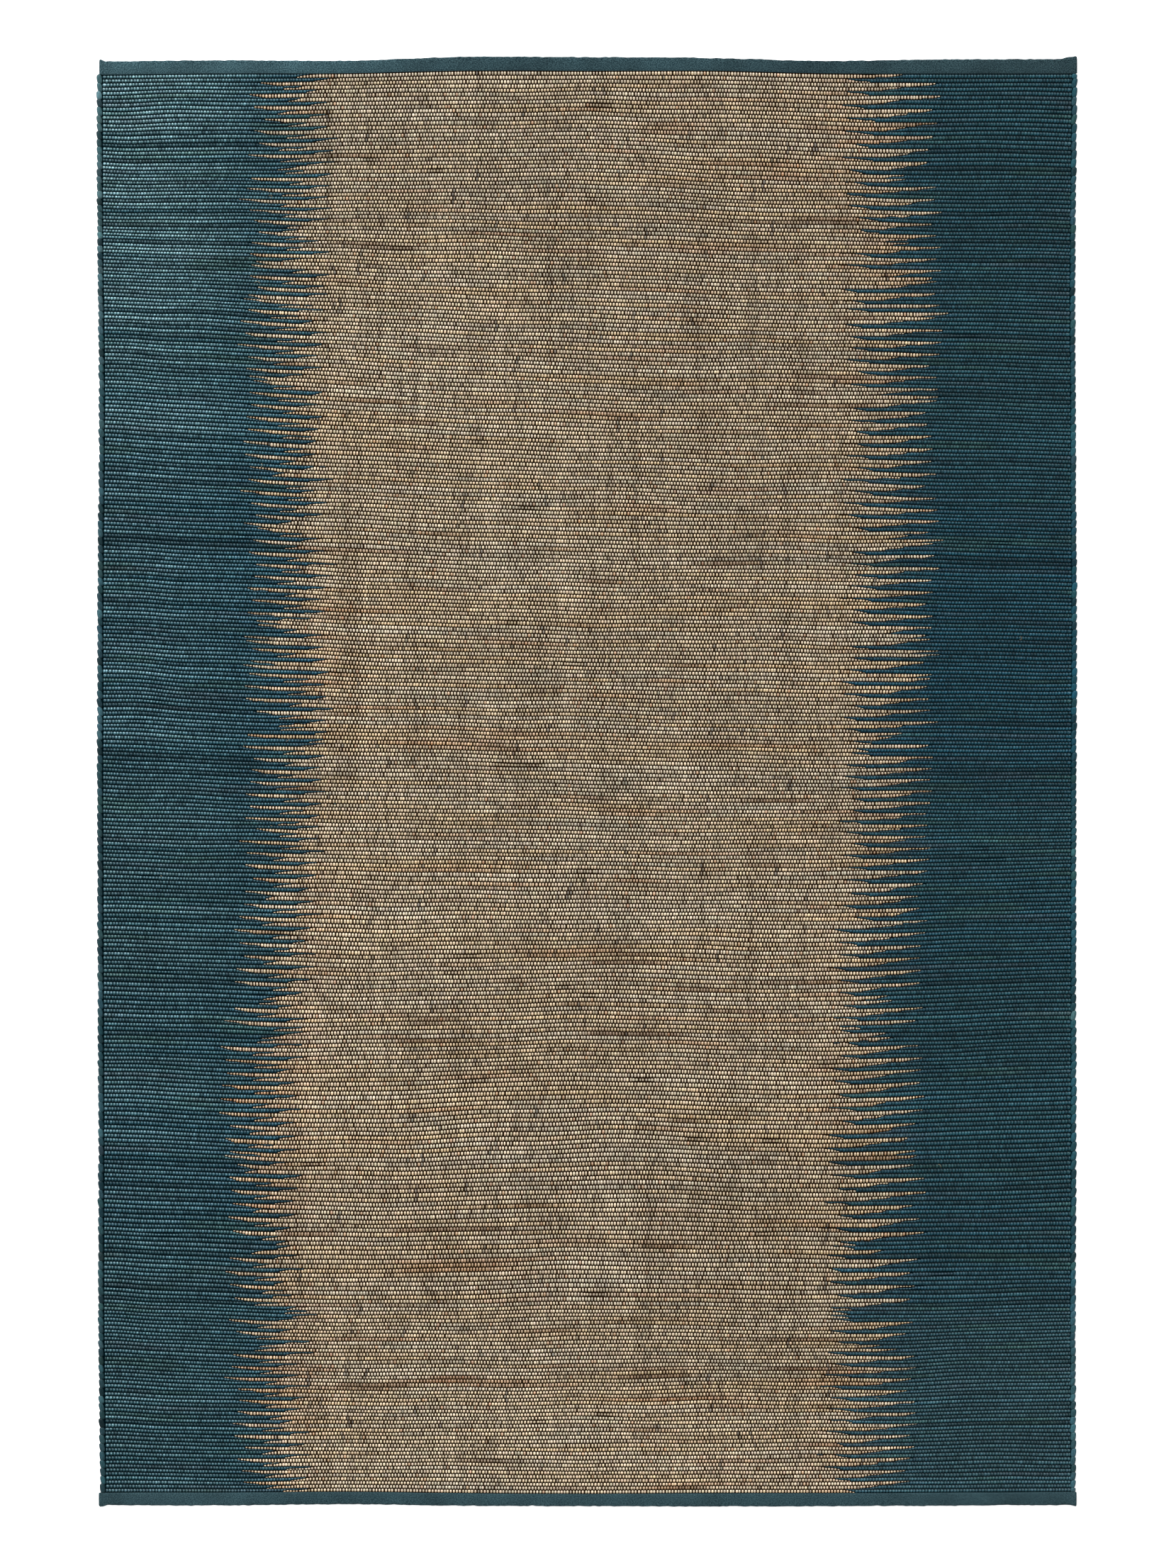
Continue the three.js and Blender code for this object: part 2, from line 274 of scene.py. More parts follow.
sag_lines = sum(
    np.outer(
        smooth_at(ROW_SAG[:, 0], ROW_SAG[:, k + 1], line_share),
        smooth_at(np.linspace(-1, 1, 5), np.eye(5)[k], across),
    )
    for k in range(5)
)
far_edge = settled_edge(FAR, line_number)
near_edge = settled_edge(NEAR, ROWS - line_number)
lines = far_edge + (near_edge - far_edge) * line_share[:, None] - sag_lines

table = lines.shape
calm = np.clip(np.minimum(line_number, ROWS - line_number) / CALM_ROWS, 0, 1)
waves = sum(height * soft_noise(table, spread, seed) for height, spread, seed in WAVES)
waves += LEFT_WAVE * soft_noise(table, LEFT_SPREAD, seed=13) * ease(-across, 0.72, 1.0)
lines += calm * waves
row_widths = lines[:-1] - lines[1:]
print(f"rows {row_widths.min():.1f} to {row_widths.max():.1f} mm wide")

# %% [markdown]
# ## Where each row changes yarn
#
# At a join, the old yarn ends and the new one begins in the same row, and their tails lie side by
# side for 40 to 70 mm. Each tail tapers, so the two together are as wide as the row. The natural
# yarn reaches far, midway and least in turn, and its tail lies along the far or the near edge of
# the row. Now and then a row falls out of turn.

# %% Joins
FINGER_TURN = 3
SLIPS = 0.07               # the share of rows that fall out of turn
SCARF = 54                 # the length over which the tails overlap
SCARF_RANGE = (0.75, 1.3)
JOIN_SPREAD = 8            # how unevenly the joins are placed
TAIL_SHAPE = 0.6           # below 1, the natural tail thickens fast

draw = np.random.default_rng(21)
row_number = np.arange(ROWS)
finger = (row_number + 1) % FINGER_TURN
slips = draw.random(ROWS) < SLIPS
finger[slips] = draw.integers(0, FINGER_TURN, slips.sum())
left_columns = np.array([smooth_at(JOINS[:, 0], JOINS[:, k], row_share) for k in (1, 2, 3)])
right_columns = np.array([smooth_at(JOINS[:, 0], JOINS[:, k], row_share) for k in (6, 5, 4)])
left_join = left_columns[finger, row_number] + JOIN_SPREAD * draw.standard_normal(ROWS)
right_join = right_columns[finger, row_number] + JOIN_SPREAD * draw.standard_normal(ROWS)
left_scarf = SCARF * draw.uniform(*SCARF_RANGE, ROWS)
right_scarf = SCARF * draw.uniform(*SCARF_RANGE, ROWS)
left_tail_far = finger == 0
right_tail_far = finger != 2


def natural_share(x, row):
    """How much of a row's width is natural yarn at x, from 0 to 1, at the two joins."""
    left = (x - left_join[row]) / left_scarf[row] + 0.5
    right = (right_join[row] - x) / right_scarf[row] + 0.5
    return np.clip(left, 0, 1) ** TAIL_SHAPE, np.clip(right, 0, 1) ** TAIL_SHAPE


print("joins at the left from", left_join.min().round(), "to", left_join.max().round(), "mm")

# %% [markdown]
# ## The beads
#
# Every second warp carries a bead, and the next row has its beads over the other warps. The warps
# wander a little from row to row. This cell finds the place of each bead, and the far and the near
# line of its row there.

# %% Places of the beads
BEADS = WARPS // 2
LEFT_REACH, RIGHT_REACH = 1.4, 2.7   # how far a row goes beyond its end towards the edge cord
HALF_BEAD = 2.65
WANDER, JITTER = 0.8, 0.3  # how far the warps and the single beads stray
RAGGED = 0.11              # how unevenly a tail tapers, as a share of the row
bead_row = np.repeat(row_number[:, None], BEADS, axis=1)
bead_warp = 2 * np.arange(BEADS)[None, :] + bead_row % 2
grid = bead_row.shape
wander = WANDER * soft_noise((ROWS, WARPS), (16, 9), seed=31)
jitter = JITTER * np.random.default_rng(32).standard_normal(grid)
bead_x = warp_x[bead_warp] + wander[bead_row, bead_warp] + jitter
bead_far = lines[bead_row, bead_warp]
bead_near = lines[bead_row + 1, bead_warp]
in_rug = (bead_x > rows_from[bead_row] - LEFT_REACH) & (bead_x < rows_to[bead_row] + RIGHT_REACH)

# the first and the last bead of a row are stretched, so that every row reaches the edge cord
bead_stretch = np.zeros(grid)
for place, limit, side in (
    (in_rug.argmax(1), rows_from[:-1] - LEFT_REACH, -1),
    (BEADS - 1 - in_rug[:, ::-1].argmax(1), rows_to[:-1] + RIGHT_REACH, 1),
):
    inner = bead_x[row_number, place] - side * HALF_BEAD
    bead_x[row_number, place] = (limit + inner) / 2
    bead_stretch[row_number, place] = abs(limit - inner) / 2 - HALF_BEAD
ragged_tail = RAGGED * soft_noise(grid, (0, 1.2), seed=34)
left_share, right_share = (
    np.where((share > 0) & (share < 1), np.clip(share + ragged_tail, 0, 1), share)
    for share in natural_share(bead_x, bead_row)
)
print(in_rug.sum(), "beads")

# %% [markdown]
# ## Yarn colours
#
# Jute varies along every yarn, because it is spun from many plants. The undyed yarn runs from pale
# straw to tan, with grey, brown and orange stretches and now and then a dark bead, and in places
# a bluish warp shows through. The teal took more dye in some lots of rows than in others, it is
# paler at the left, partly faded and partly a painted sheen, and next to the joins it leans to
# navy.
# Both yarns are painted darker towards the right: the undyed one as shade of a light that falls
# off from the left, the teal partly so and partly from a deeper dye. Each bead gets its own colour
# from soft noise along its row, so a stretch of yarn stays one colour for some centimetres. The
# colours are written as they look on a screen and turned into linear light.

# %% Yarn colours
def linear(red, green, blue):
    value = np.array([red, green, blue]) / 255
    return np.where(value <= 0.04045, value / 12.92, ((value + 0.055) / 1.055) ** 2.4)


def blend(colours, other, part):
    part = np.clip(part, 0, 1)[..., None]
    return colours * (1 - part) + other * part


def blended(base, steps):
    """A colour for every bead: a base, with other colours blended in one after another."""
    colours = np.broadcast_to(base, (*grid, 3))
    for other, part in steps:
        colours = blend(colours, other, part)
    return colours


print("blending for", grid[0], "rows of", grid[1], "beads")

# %% The maker's colours
STRAW, TAN, ASH = linear(252, 234, 203), linear(242, 211, 164), linear(221, 212, 187)
BROWN, ORANGE, SOOT = linear(148, 106, 70), linear(206, 138, 84), linear(42, 58, 68)
BARE_WARP = linear(56, 86, 104)
TEAL, PALE_TEAL, NAVY = linear(53, 112, 127), linear(138, 184, 192), linear(38, 84, 116)
MOSS, PLUM, DEEP_TEAL = linear(68, 108, 94), linear(84, 92, 104), linear(42, 92, 107)
NIGHT_TEAL, GREY_TEAL, BLUE_TEAL = linear(26, 82, 96), linear(72, 98, 104), linear(18, 84, 110)

DYE_STRENGTH = np.array([0.675, 0.715, 0.715])   # how much light dyed yarn gives back
print("straw", STRAW.round(2), "teal", TEAL.round(2))

# %% Where the tones change
# rows that took more dye: the middle and the reach, as shares of the rug's length, and how much
DYED_LEFT = ((0.38, 0.13, 1.0), (0.67, 0.03, 0.6), (0.77, 0.05, 1.0))
DYED_RIGHT = ((0.4, 0.11, 1.0), (0.6, 0.04, 0.5), (0.83, 0.04, 0.6))

# places and the tone there: across the rug in millimetres, and along it as shares of its length
# across the undyed field the tone falls from left to right: painted shade of a light that falls
# off from the left
NATURAL_FALLOFF_ACROSS = ([-650, -200, 0, 650], [0.685, 0.67, 0.64, 0.615])
NATURAL_ALONG = ([0, 0.6, 0.78, 0.9, 1], [1, 1, 0.94, 0.98, 1.05])
FADED_AND_SHEEN_ALONG = ([0, 0.12, 0.3, 1], [1.55, 1.3, 0.6, 0.45])
TEAL_ALONG = [0, 0.05, 0.14, 0.27, 0.45, 0.6, 0.8, 1]
TEAL_LEFT = [0.93, 0.93, 0.85, 0.88, 0.84, 0.76, 0.75, 0.77]
TEAL_RIGHT = [0.92, 0.88, 0.85, 0.84, 0.83, 0.87, 0.87, 0.97]
print(len(DYED_LEFT) + len(DYED_RIGHT), "lots with more dye")

# %% Unevenness of the yarn
# each spread is in rows and in beads
yarn_stretch = soft_noise(grid, (0.35, 13), seed=41)
yarn_short = soft_noise(grid, (0.5, 3), seed=42)
yarn_lot = soft_noise(grid, (0, 500), seed=43)
patch = soft_noise(grid, (9, 20), seed=44)
streak = soft_noise(grid, (14, 0.6), seed=45)
ash_stretch = soft_noise(grid, (0.7, 8), seed=46)
brown_stretch = soft_noise(grid, (0.3, 10), seed=47)
thin_stretch = ease(soft_noise(grid, (0, 4), seed=51), 2.2, 3.4)
orange_stretch = soft_noise(grid, (0.5, 12), seed=52)
open_warp = ease(soft_noise(grid, (1.3, 0.3), seed=53), 2.0, 2.9)
speck = np.random.default_rng(48).random(grid)
grit = np.random.default_rng(49).standard_normal(grid)
plumpness = np.random.default_rng(33).standard_normal(grid).clip(-2, 1.6)
tint = 1 + 0.018 * np.random.default_rng(50).standard_normal((*grid, 3))
from_join = np.minimum(abs(bead_x - left_join[bead_row]), abs(bead_x - right_join[bead_row]))
print(f"the warp shows at {(open_warp > 0.5).mean():.1%} of the beads")


# %% Colours of the undyed yarn
def natural_colours():
    bleached = ease(-bead_x, 100, 600) * (1 - ease(row_share, 0.03, 0.25))[bead_row]
    stained = ease(patch, 0.2, 1.6) * (1 - ease(from_join, 20, 130))
    clean = ease(speck - 0.01 + 0.008 * yarn_short + 0.01 * streak, -0.02, 0.03)
    colours = blended(STRAW, [
        (TAN, 0.47 + 0.24 * yarn_stretch + 0.12 * yarn_lot + 0.08 * grit),
        (ASH, 0.55 * ease(ash_stretch, 0.7, 1.9)),
        (BROWN, 0.7 * ease(brown_stretch, 1.4, 2.8)),
        (ASH, 0.35 * bleached),
        (ORANGE, 0.42 * ease(orange_stretch, 1.1, 2.4)),
        (ORANGE, 0.5 * (speck > 0.985)),
        (ORANGE, 0.32 * stained),
        (SOOT, 0.45 * (1 - clean)),
        (BARE_WARP, 0.55 * open_warp),
    ])
    tone = 1 + 0.08 * yarn_short + 0.03 * patch + 0.06 * streak + 0.1 * grit + 0.05 * yarn_lot
    tone = tone * (1 - 0.3 * thin_stretch)
    # painted shade: darker towards the right, as the light falls off from the left
    tone = tone * np.interp(bead_x, *NATURAL_FALLOFF_ACROSS)
    tone = tone * np.interp(row_share, *NATURAL_ALONG)[bead_row]
    return colours * tint * np.clip(tone, 0.25, 1.2)[..., None]


natural_yarn = natural_colours()
print("natural", natural_yarn.mean((0, 1)).round(3))


# %% Colours of the teal yarn
def dyed(lots):
    """How much more dye each bead's row took."""
    amount = sum(
        part * (1 - ease(abs(row_share - middle), 0.6 * reach, 1.3 * reach))
        for middle, reach, part in lots
    )
    return amount[bead_row]


def teal_colours():
    less_grey = (1 - 0.8 * ease(row_share, 0.75, 0.95))[bead_row]
    dye = np.where(bead_x < 0, dyed(DYED_LEFT), dyed(DYED_RIGHT)) + 0.12 * yarn_lot
    # the left side is paler: partly faded dye and partly a painted sheen of the light from the
    # left, strongest near the far end
    faded_and_sheen = ease(-bead_x, 560, 900) * (0.33 + 0.1 * yarn_lot + 0.08 * yarn_stretch + 0.04 * grit)
    faded_and_sheen *= np.interp(row_share, *FADED_AND_SHEEN_ALONG)[bead_row]
    colours = blended(TEAL, [
        (DEEP_TEAL, 0.5 + 0.3 * yarn_stretch),
        # towards the right the teal goes deeper and darker: partly a deeper dye, partly painted
        # shade of a light that falls off from the left
        (NIGHT_TEAL, 0.6 * ease(bead_x, 0, 700) * less_grey),
        (GREY_TEAL, 0.5 * ease(bead_x, 0, 700) * (1 - less_grey)),
        (BLUE_TEAL, 0.35 * dye),
        (GREY_TEAL, 0.14 * (1 - dye)),
        (PALE_TEAL, faded_and_sheen),
        (NAVY, 0.2 * (1 - ease(from_join, 15, 90))),
        (MOSS, 0.4 * ease(ash_stretch, 0.9, 2.0)),
        (PLUM, 0.35 * ease(brown_stretch, 1.2, 2.2)),
    ])
    tone = 1 + 0.08 * yarn_short + 0.02 * patch + 0.13 * grit + 0.13 * yarn_lot
    tone = tone * (1 - 0.2 * ease(-yarn_lot, 1.2, 2.0))
    left_tone, right_tone = (
        np.interp(row_share, TEAL_ALONG, side)[bead_row] for side in (TEAL_LEFT, TEAL_RIGHT)
    )
    tone = tone * np.where(bead_x > 0, right_tone, left_tone)
    return DYE_STRENGTH * colours * tint * np.clip(tone, 0.4, 1.9)[..., None]


teal_yarn = teal_colours()
print("teal", teal_yarn.mean((0, 1)).round(3))

# %% [markdown]
# ## Making meshes from arrays
#
# There are over a hundred thousand beads. Separate objects would be far too slow, and so would a
# loop over the faces. The points, faces and colours of a piece are worked out as whole arrays and
# handed to Blender in one go. Each point also carries a lift, from 0 deep between the yarns to 1
# on top, which some materials use for the dirt and shadow in the gaps.

# %% Mesh helper
def make_piece(name, points, faces, colours, lift=1.0, normals=None, flat_map=None, replaces=()):
    """A smooth mesh object from arrays in millimetres, which rides on the rug.

    flat_map is the name of a map and the place on it of each face corner."""
    mesh = bpy.data.meshes.new(name)
    points = np.asarray(points, np.float32).reshape(-1, 3) * MM
    faces = np.asarray(faces, np.int32)
    mesh.vertices.add(len(points))
    mesh.vertices.foreach_set("co", points.ravel())
    mesh.loops.add(faces.size)
    mesh.loops.foreach_set("vertex_index", faces.ravel())
    mesh.polygons.add(len(faces))
    starts = np.arange(0, faces.size, faces.shape[1], dtype=np.int32)
    mesh.polygons.foreach_set("loop_start", starts)
    mesh.update(calc_edges=True)
    mesh.polygons.foreach_set("use_smooth", np.ones(len(faces), bool))
    rgba = np.ones((len(points), 4), np.float32)
    rgba[:, :3] = colours
    mesh.attributes.new("yarn", "FLOAT_COLOR", "POINT").data.foreach_set("color", rgba.ravel())
    lift = np.broadcast_to(lift, len(points)).astype(np.float32)
    mesh.attributes.new("lift", "FLOAT", "POINT").data.foreach_set("value", lift)
    if normals is not None:
        mesh.normals_split_custom_set_from_vertices(normals)
    if flat_map is not None:
        map_name, corners = flat_map
        layer = mesh.uv_layers.new(name=map_name)
        layer.uv.foreach_set("vector", np.asarray(corners, np.float32).ravel())
    piece = bpy.data.objects.new(name, mesh)
    bpy.context.scene.collection.objects.link(piece)
    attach(piece, "root")
    if replaces:
        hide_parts(*replaces)
    print(f"{name}: {len(points)} points, {len(faces)} faces")
    return piece


# %% [markdown]
# ## The wefts
#
# A real weft goes over one warp and dips under the next. Seen from above it is a chain of beads
# with a dark dip between them. Each bead is drawn with five points: four corners deep in the weave
# and a crown. The dip is two faces between two beads. That is six triangles a bead, which is
# little enough for the whole rug, and the chain stays one ribbon. The normals are set to
# those of a round bead, so it shades as a dome. A map gives each bead its own square from -1 to 1,
# where the material finds its way.

# %% Form of the beads
DIP_HEIGHT = 5.1
CROWN_HEIGHT = 7.9
LEAST_SHARE = 0.17         # a thinner tail is hidden
THIN_GAP, THIN_LENGTH, THIN_HEIGHT, THIN_TONE = 0.5, 0.87, 0.4, 0.78   # at the tip of a tail
PLUMPNESS = 0.13           # how much the beads differ in length
SIDES = np.array([(-1, -1), (1, -1), (1, 1), (-1, 1)])
IN_DIP = 1.1               # where a dip lies on the map of its bead
print(f"a crown stands {CROWN_HEIGHT - DIP_HEIGHT:.1f} mm above the dips")


# %% A weft
def fuller(least, part):
    """From least at the tip of a tail to 1 where the yarn fills its row."""
    return least + (1 - least) * part


def weft(name, worn, share, on_far_edge, colours, bead_length, gap, tilt, lean=0.0):
    """A ribbon of beads for each row, where the yarn is worn and has a share of the row."""
    chosen = worn & (share > LEAST_SHARE)
    part = share[chosen]
    row, place = bead_row[chosen], np.nonzero(chosen)[1]
    x, far, near = bead_x[chosen], bead_far[chosen], bead_near[chosen]
    width = (far - near) * part
    top = np.where(on_far_edge[chosen], far, near + width)
    middle = top - width / 2
    half_width = (width - gap * fuller(THIN_GAP, part)) / 2 * (1 - 0.3 * thin_stretch[chosen])
    half_length = bead_length / 2 * fuller(THIN_LENGTH, part)
    half_length *= 1 + PLUMPNESS * plumpness[chosen]
    half_length += bead_stretch[chosen] - 0.5 * open_warp[chosen]
    slant = lean + 0.12 * yarn_lot[chosen]
    crown = DIP_HEIGHT + (CROWN_HEIGHT - DIP_HEIGHT) * fuller(THIN_HEIGHT, part)
    crown += 0.22 * yarn_short[chosen]

    points = np.empty((len(x), 5, 3))
    for k, (along, up) in enumerate(SIDES):
        points[:, k, 0] = x + along * half_length + up * slant
        points[:, k, 1] = middle + up * half_width
        points[:, k, 2] = DIP_HEIGHT
    points[:, 4] = np.stack([x, middle, crown], 1)

    first = 5 * np.arange(len(x))
    slopes = np.array([(0, 1, 4), (1, 2, 4), (2, 3, 4), (3, 0, 4)])
    beads = first[:, None, None] + slopes
    follows = (row[1:] == row[:-1]) & (place[1:] == place[:-1] + 1)
    here, after = first[:-1][follows], first[1:][follows]
    dips = np.concatenate([
        np.stack([here + 1, after, after + 3], 1),
        np.stack([here + 1, after + 3, here + 2], 1),
    ])
    on_bead = np.concatenate([SIDES, [(0, 0)]])
    in_dip = np.array([(IN_DIP, side) for side in (-1, -1, 1, -1, 1, 1)])
    corners = np.concatenate([
        np.broadcast_to(on_bead[slopes], (len(x), 4, 3, 2)).reshape(-1, 2),
        np.repeat(in_dip[:3][None], len(dips) // 2, axis=0).reshape(-1, 2),
        np.repeat(in_dip[3:][None], len(dips) // 2, axis=0).reshape(-1, 2),
    ])
    normals = np.zeros((len(x), 5, 3))
    normals[:, :4, :2] = SIDES * tilt
    normals[:, :4, 2] = math.sqrt(1 - np.dot(tilt, tilt))
    normals[:, 4, 2] = 1
    tones = colours[chosen] * fuller(THIN_TONE, part)[:, None]
    return make_piece(
        name,
        points,
        np.concatenate([beads.reshape(-1, 3), dips]),
        np.repeat(tones, 5, axis=0),
        normals=normals.reshape(-1, 3),
        flat_map=("bead_map", corners),
        replaces=["rug_field"],
    )


# %% Wefts
# a bead's length, the gap beside it, and how far its corners' normals tilt along and across
NATURAL_LENGTH, NATURAL_GAP, NATURAL_TILT = 5.0, 0.8, (0.55, 0.5)
TEAL_LENGTH, TEAL_GAP, TEAL_TILT, SOFT_TILT = 5.3, 0.5, (0.4, 0.7), (0.35, 0.58)
LENGTHS = [("far", 0, 117), ("middle", 117, 234), ("near", 234, ROWS)]   # from row to row

tail_far = np.where(bead_x < 0, left_tail_far[bead_row], right_tail_far[bead_row])
both_shares = left_share * right_share
natural_wefts = []
for part_name, first_row, last_row in LENGTHS:
    worn = in_rug & (bead_row >= first_row) & (bead_row < last_row)
    natural_wefts.append(weft(
        f"natural_weft_{part_name}", worn, both_shares, tail_far, natural_yarn,
        NATURAL_LENGTH, NATURAL_GAP, NATURAL_TILT,
    ))
teal_wefts = [
    weft("teal_weft_left", in_rug & (bead_x < 0), 1 - left_share, ~tail_far, teal_yarn,
         TEAL_LENGTH, TEAL_GAP, TEAL_TILT, lean=0.15),
    weft("teal_weft_right", in_rug & (bead_x > 0), 1 - right_share, ~tail_far, teal_yarn,
         TEAL_LENGTH, TEAL_GAP, SOFT_TILT, lean=0.55),
]

# %% [markdown]
# ## The warp ground
#
# Under the beads lies a thin closed sheet with the rug's outline, in the colour of the shadow
# between the yarns. It stands for the warp and the inside of the weave.

# %% Warp ground
GROUND_LOW, GROUND_HIGH = 3.2, 4.9
GROUND_ROWS = np.linspace(0, ROWS, 71).round().astype(int)
GROUND_COLUMNS = np.linspace(-1, 1, 41)
UNDER_TAPE = 20            # how far it reaches under the tapes


def ground_sheet():
    """Points and faces of the upper side, the lower side and the rim."""
    y = np.array([np.interp(GROUND_COLUMNS, across, lines[k]) for k in GROUND_ROWS])
    y[0] += UNDER_TAPE
    y[-1] -= UNDER_TAPE
    half = (rows_to - rows_from)[GROUND_ROWS] / 2 + SHOULDER / 2
    centre = (rows_to + rows_from)[GROUND_ROWS] / 2
    x = centre[:, None] + half[:, None] * GROUND_COLUMNS
    top = np.stack([x, y, np.full_like(x, GROUND_HIGH)], -1)
    under = np.stack([x, y, np.full_like(x, GROUND_LOW)], -1)
    down, wide = x.shape
    index = np.arange(down * wide).reshape(down, wide)
    quads = np.stack([index[:-1, :-1], index[1:, :-1], index[1:, 1:], index[:-1, 1:]], -1)
    quads = quads.reshape(-1, 4)
    rim = np.concatenate([index[0, ::-1], index[1:, 0], index[-1, 1:], index[-2:0:-1, -1]])
    step = down * wide
    after = np.roll(rim, -1)
    walls = np.stack([rim, rim + step, after + step, after], 1)
    points = np.concatenate([top.reshape(-1, 3), under.reshape(-1, 3)])
    return points, np.concatenate([quads, quads[:, ::-1] + step, walls])


ground_points, ground_faces = ground_sheet()
SHADOW_WARM, SHADOW_COOL = linear(26, 16, 6), linear(0, 16, 22)
in_middle = ease(ground_points[:, 0], -700, -560) * (1 - ease(ground_points[:, 0], 560, 690))
ground_colours = blend(np.broadcast_to(SHADOW_COOL, ground_points.shape), SHADOW_WARM, in_middle)
# painted shade: the sheet's colour is the shadow seen deep in the gaps between the yarns
shaded_warp_ground = make_piece(
    "shaded_warp_ground", ground_points, ground_faces, ground_colours, replaces=["rug_field"]
)
for face in shaded_warp_ground.data.polygons:
    face.use_smooth = False

# %% [markdown]
# ## The underside of the rows
#
# The rug has no back: underneath, the same rows show in the same colours. Nobody sees the beads
# there, so each yarn is a plain rounded ribbon of three lines of points. A map counts the beads
# along the ribbon, and the material paints them.

# %% A rib underneath
RIB_TOP, RIB_LOW = 3.7, 0.3
RIB_END = 0.02             # the share of a ribbon that is rounded at each end


def underside_ribs(start, end, count, share_of, on_far_edge, colours):
    """Ribbons from start to end in every row."""
    ends = np.array([0, 0.5, 1]) * RIB_END
    between = np.linspace(RIB_END, 1 - RIB_END, count)[1:-1]
    stops = np.concatenate([ends, between, 1 - ends[::-1]])
    x = start[:, None] + (end - start)[:, None] * stops[None, :]
    row = np.repeat(row_number[:, None], len(stops), axis=1)
    column = np.clip((x - warp_x[0]) / WARP_STEP, 0, WARPS - 1)
    low = np.floor(column).astype(int).clip(0, WARPS - 2)
    part = column - low
    far = lines[row, low] * (1 - part) + lines[row, low + 1] * part
    near = lines[row + 1, low] * (1 - part) + lines[row + 1, low + 1] * part
    share = np.clip(share_of(x, row), RIB_END, 1)
    width = (far - near) * share
    top = np.where(on_far_edge(x, row), far, near + width)
    lows = RIB_TOP - (RIB_TOP - RIB_LOW) * np.sqrt(share)
    edge = np.full_like(x, RIB_TOP)
    points = np.stack([
        np.stack([x, top, edge], -1),
        np.stack([x, top - width / 2, lows], -1),
        np.stack([x, top - width, edge], -1),
    ], axis=2)
    bead = np.clip(((x - warp_x[0]) / (2 * WARP_STEP)).astype(int), 0, BEADS - 1)
    shown = np.repeat(colours[row, bead][:, :, None, :], 3, axis=2)
    index = np.arange(points[..., 0].size).reshape(points.shape[:3])
    faces = []
    for k in (0, 1):
        a, b = index[:, :-1, k], index[:, :-1, k + 1]
        c, d = index[:, 1:, k + 1], index[:, 1:, k]
        faces.append(np.stack([a, d, c, b], -1).reshape(-1, 4))
    count_beads = (x - warp_x[0]) / (2 * WARP_STEP) + 0.5 * (row % 2)
    places = np.stack([
        np.repeat(count_beads[:, :, None], 3, axis=2),
        np.broadcast_to([1.0, 0.0, -1.0], points.shape[:3]),
    ], -1)
    return (points.reshape(-1, 3), np.concatenate(faces), shown.reshape(-1, 3),
            places.reshape(-1, 2))


# %% The three parts of each row
def joined(parts):
    """Several sets of points, faces, colours and map places as one."""
    points, faces, colours, places = zip(*parts)
    starts = np.cumsum([0] + [len(p) for p in points[:-1]])
    shifted = [f + s for f, s in zip(faces, starts)]
    return (np.concatenate(points), np.concatenate(shifted), np.concatenate(colours),
            np.concatenate(places))


def tail_side(x, row):
    return np.where(x < 0, left_tail_far[row], right_tail_far[row])


first_x, last_x = rows_from[:-1] + 1, rows_to[:-1] - 1
underside = joined([
    underside_ribs(left_join - left_scarf / 2, right_join + right_scarf / 2, 24,
                   lambda x, row: np.prod(natural_share(x, row), axis=0), tail_side, natural_yarn),
    underside_ribs(first_x, left_join + left_scarf / 2, 7,
                   lambda x, row: 1 - natural_share(x, row)[0],
                   lambda x, row: ~tail_side(x, row), teal_yarn),
    underside_ribs(right_join - right_scarf / 2, last_x, 7,
                   lambda x, row: 1 - natural_share(x, row)[1],
                   lambda x, row: ~tail_side(x, row), teal_yarn),
])
rib_points, rib_faces, rib_colours, rib_places = underside
underside_rows = make_piece(
    "underside_rows", rib_points, rib_faces, rib_colours,
    flat_map=("rib_map", rib_places[rib_faces.ravel()]), replaces=["rug_field"],
)

# %% [markdown]
# ## The selvedges
#
# At each side the weft turns round an edge cord, and two rows share one turn. So the edge is a
# string of plump grains, each as long as two rows and leaning a little. A grain is a closed
# rounded body, and each one reaches slightly into the next, which gives the sharp notch between
# them.

# %% Form of the grains
GRAIN_RINGS = np.linspace(-1, 1, 9)[1:-1]
GRAIN_SPOKES = 10
GRAIN_WIDE, GRAIN_HIGH = 5.8, 4.2
GRAIN_OVERLAP = 1.32
GRAIN_LEAN = math.radians(12)
GRAIN_BLUNT = 3.2          # the higher, the blunter the ends
GRAIN_CLEAR = 0.2          # above the floor
GRAIN_STRAY = 0.7          # how far a grain lies from the line
GRAIN_OUT = 0.2            # how far it stands past the side
GRAIN_LONG, GRAIN_PLUMP = (0.96, 1.06), (0.93, 1.05)   # shares of the usual length and width
GRAIN_LEANS, GRAIN_TONES = (0.5, 1.3), (0.75, 1.25)
# painted shade: below these heights a grain's low sides are painted darker
GRAIN_SHADE = (2.5, 8.2)   # the heights between which a grain gets lighter
EDGE_WARP = {-1: 3, 1: -4}   # the warp that tells where the rows end, at the left and the right
EDGE_BEAD = {-1: 4, 1: -6}   # the bead whose colour the grain has
print(f"a grain is {2 * GRAIN_WIDE:.1f} mm wide and {2 * GRAIN_HIGH:.1f} mm high")


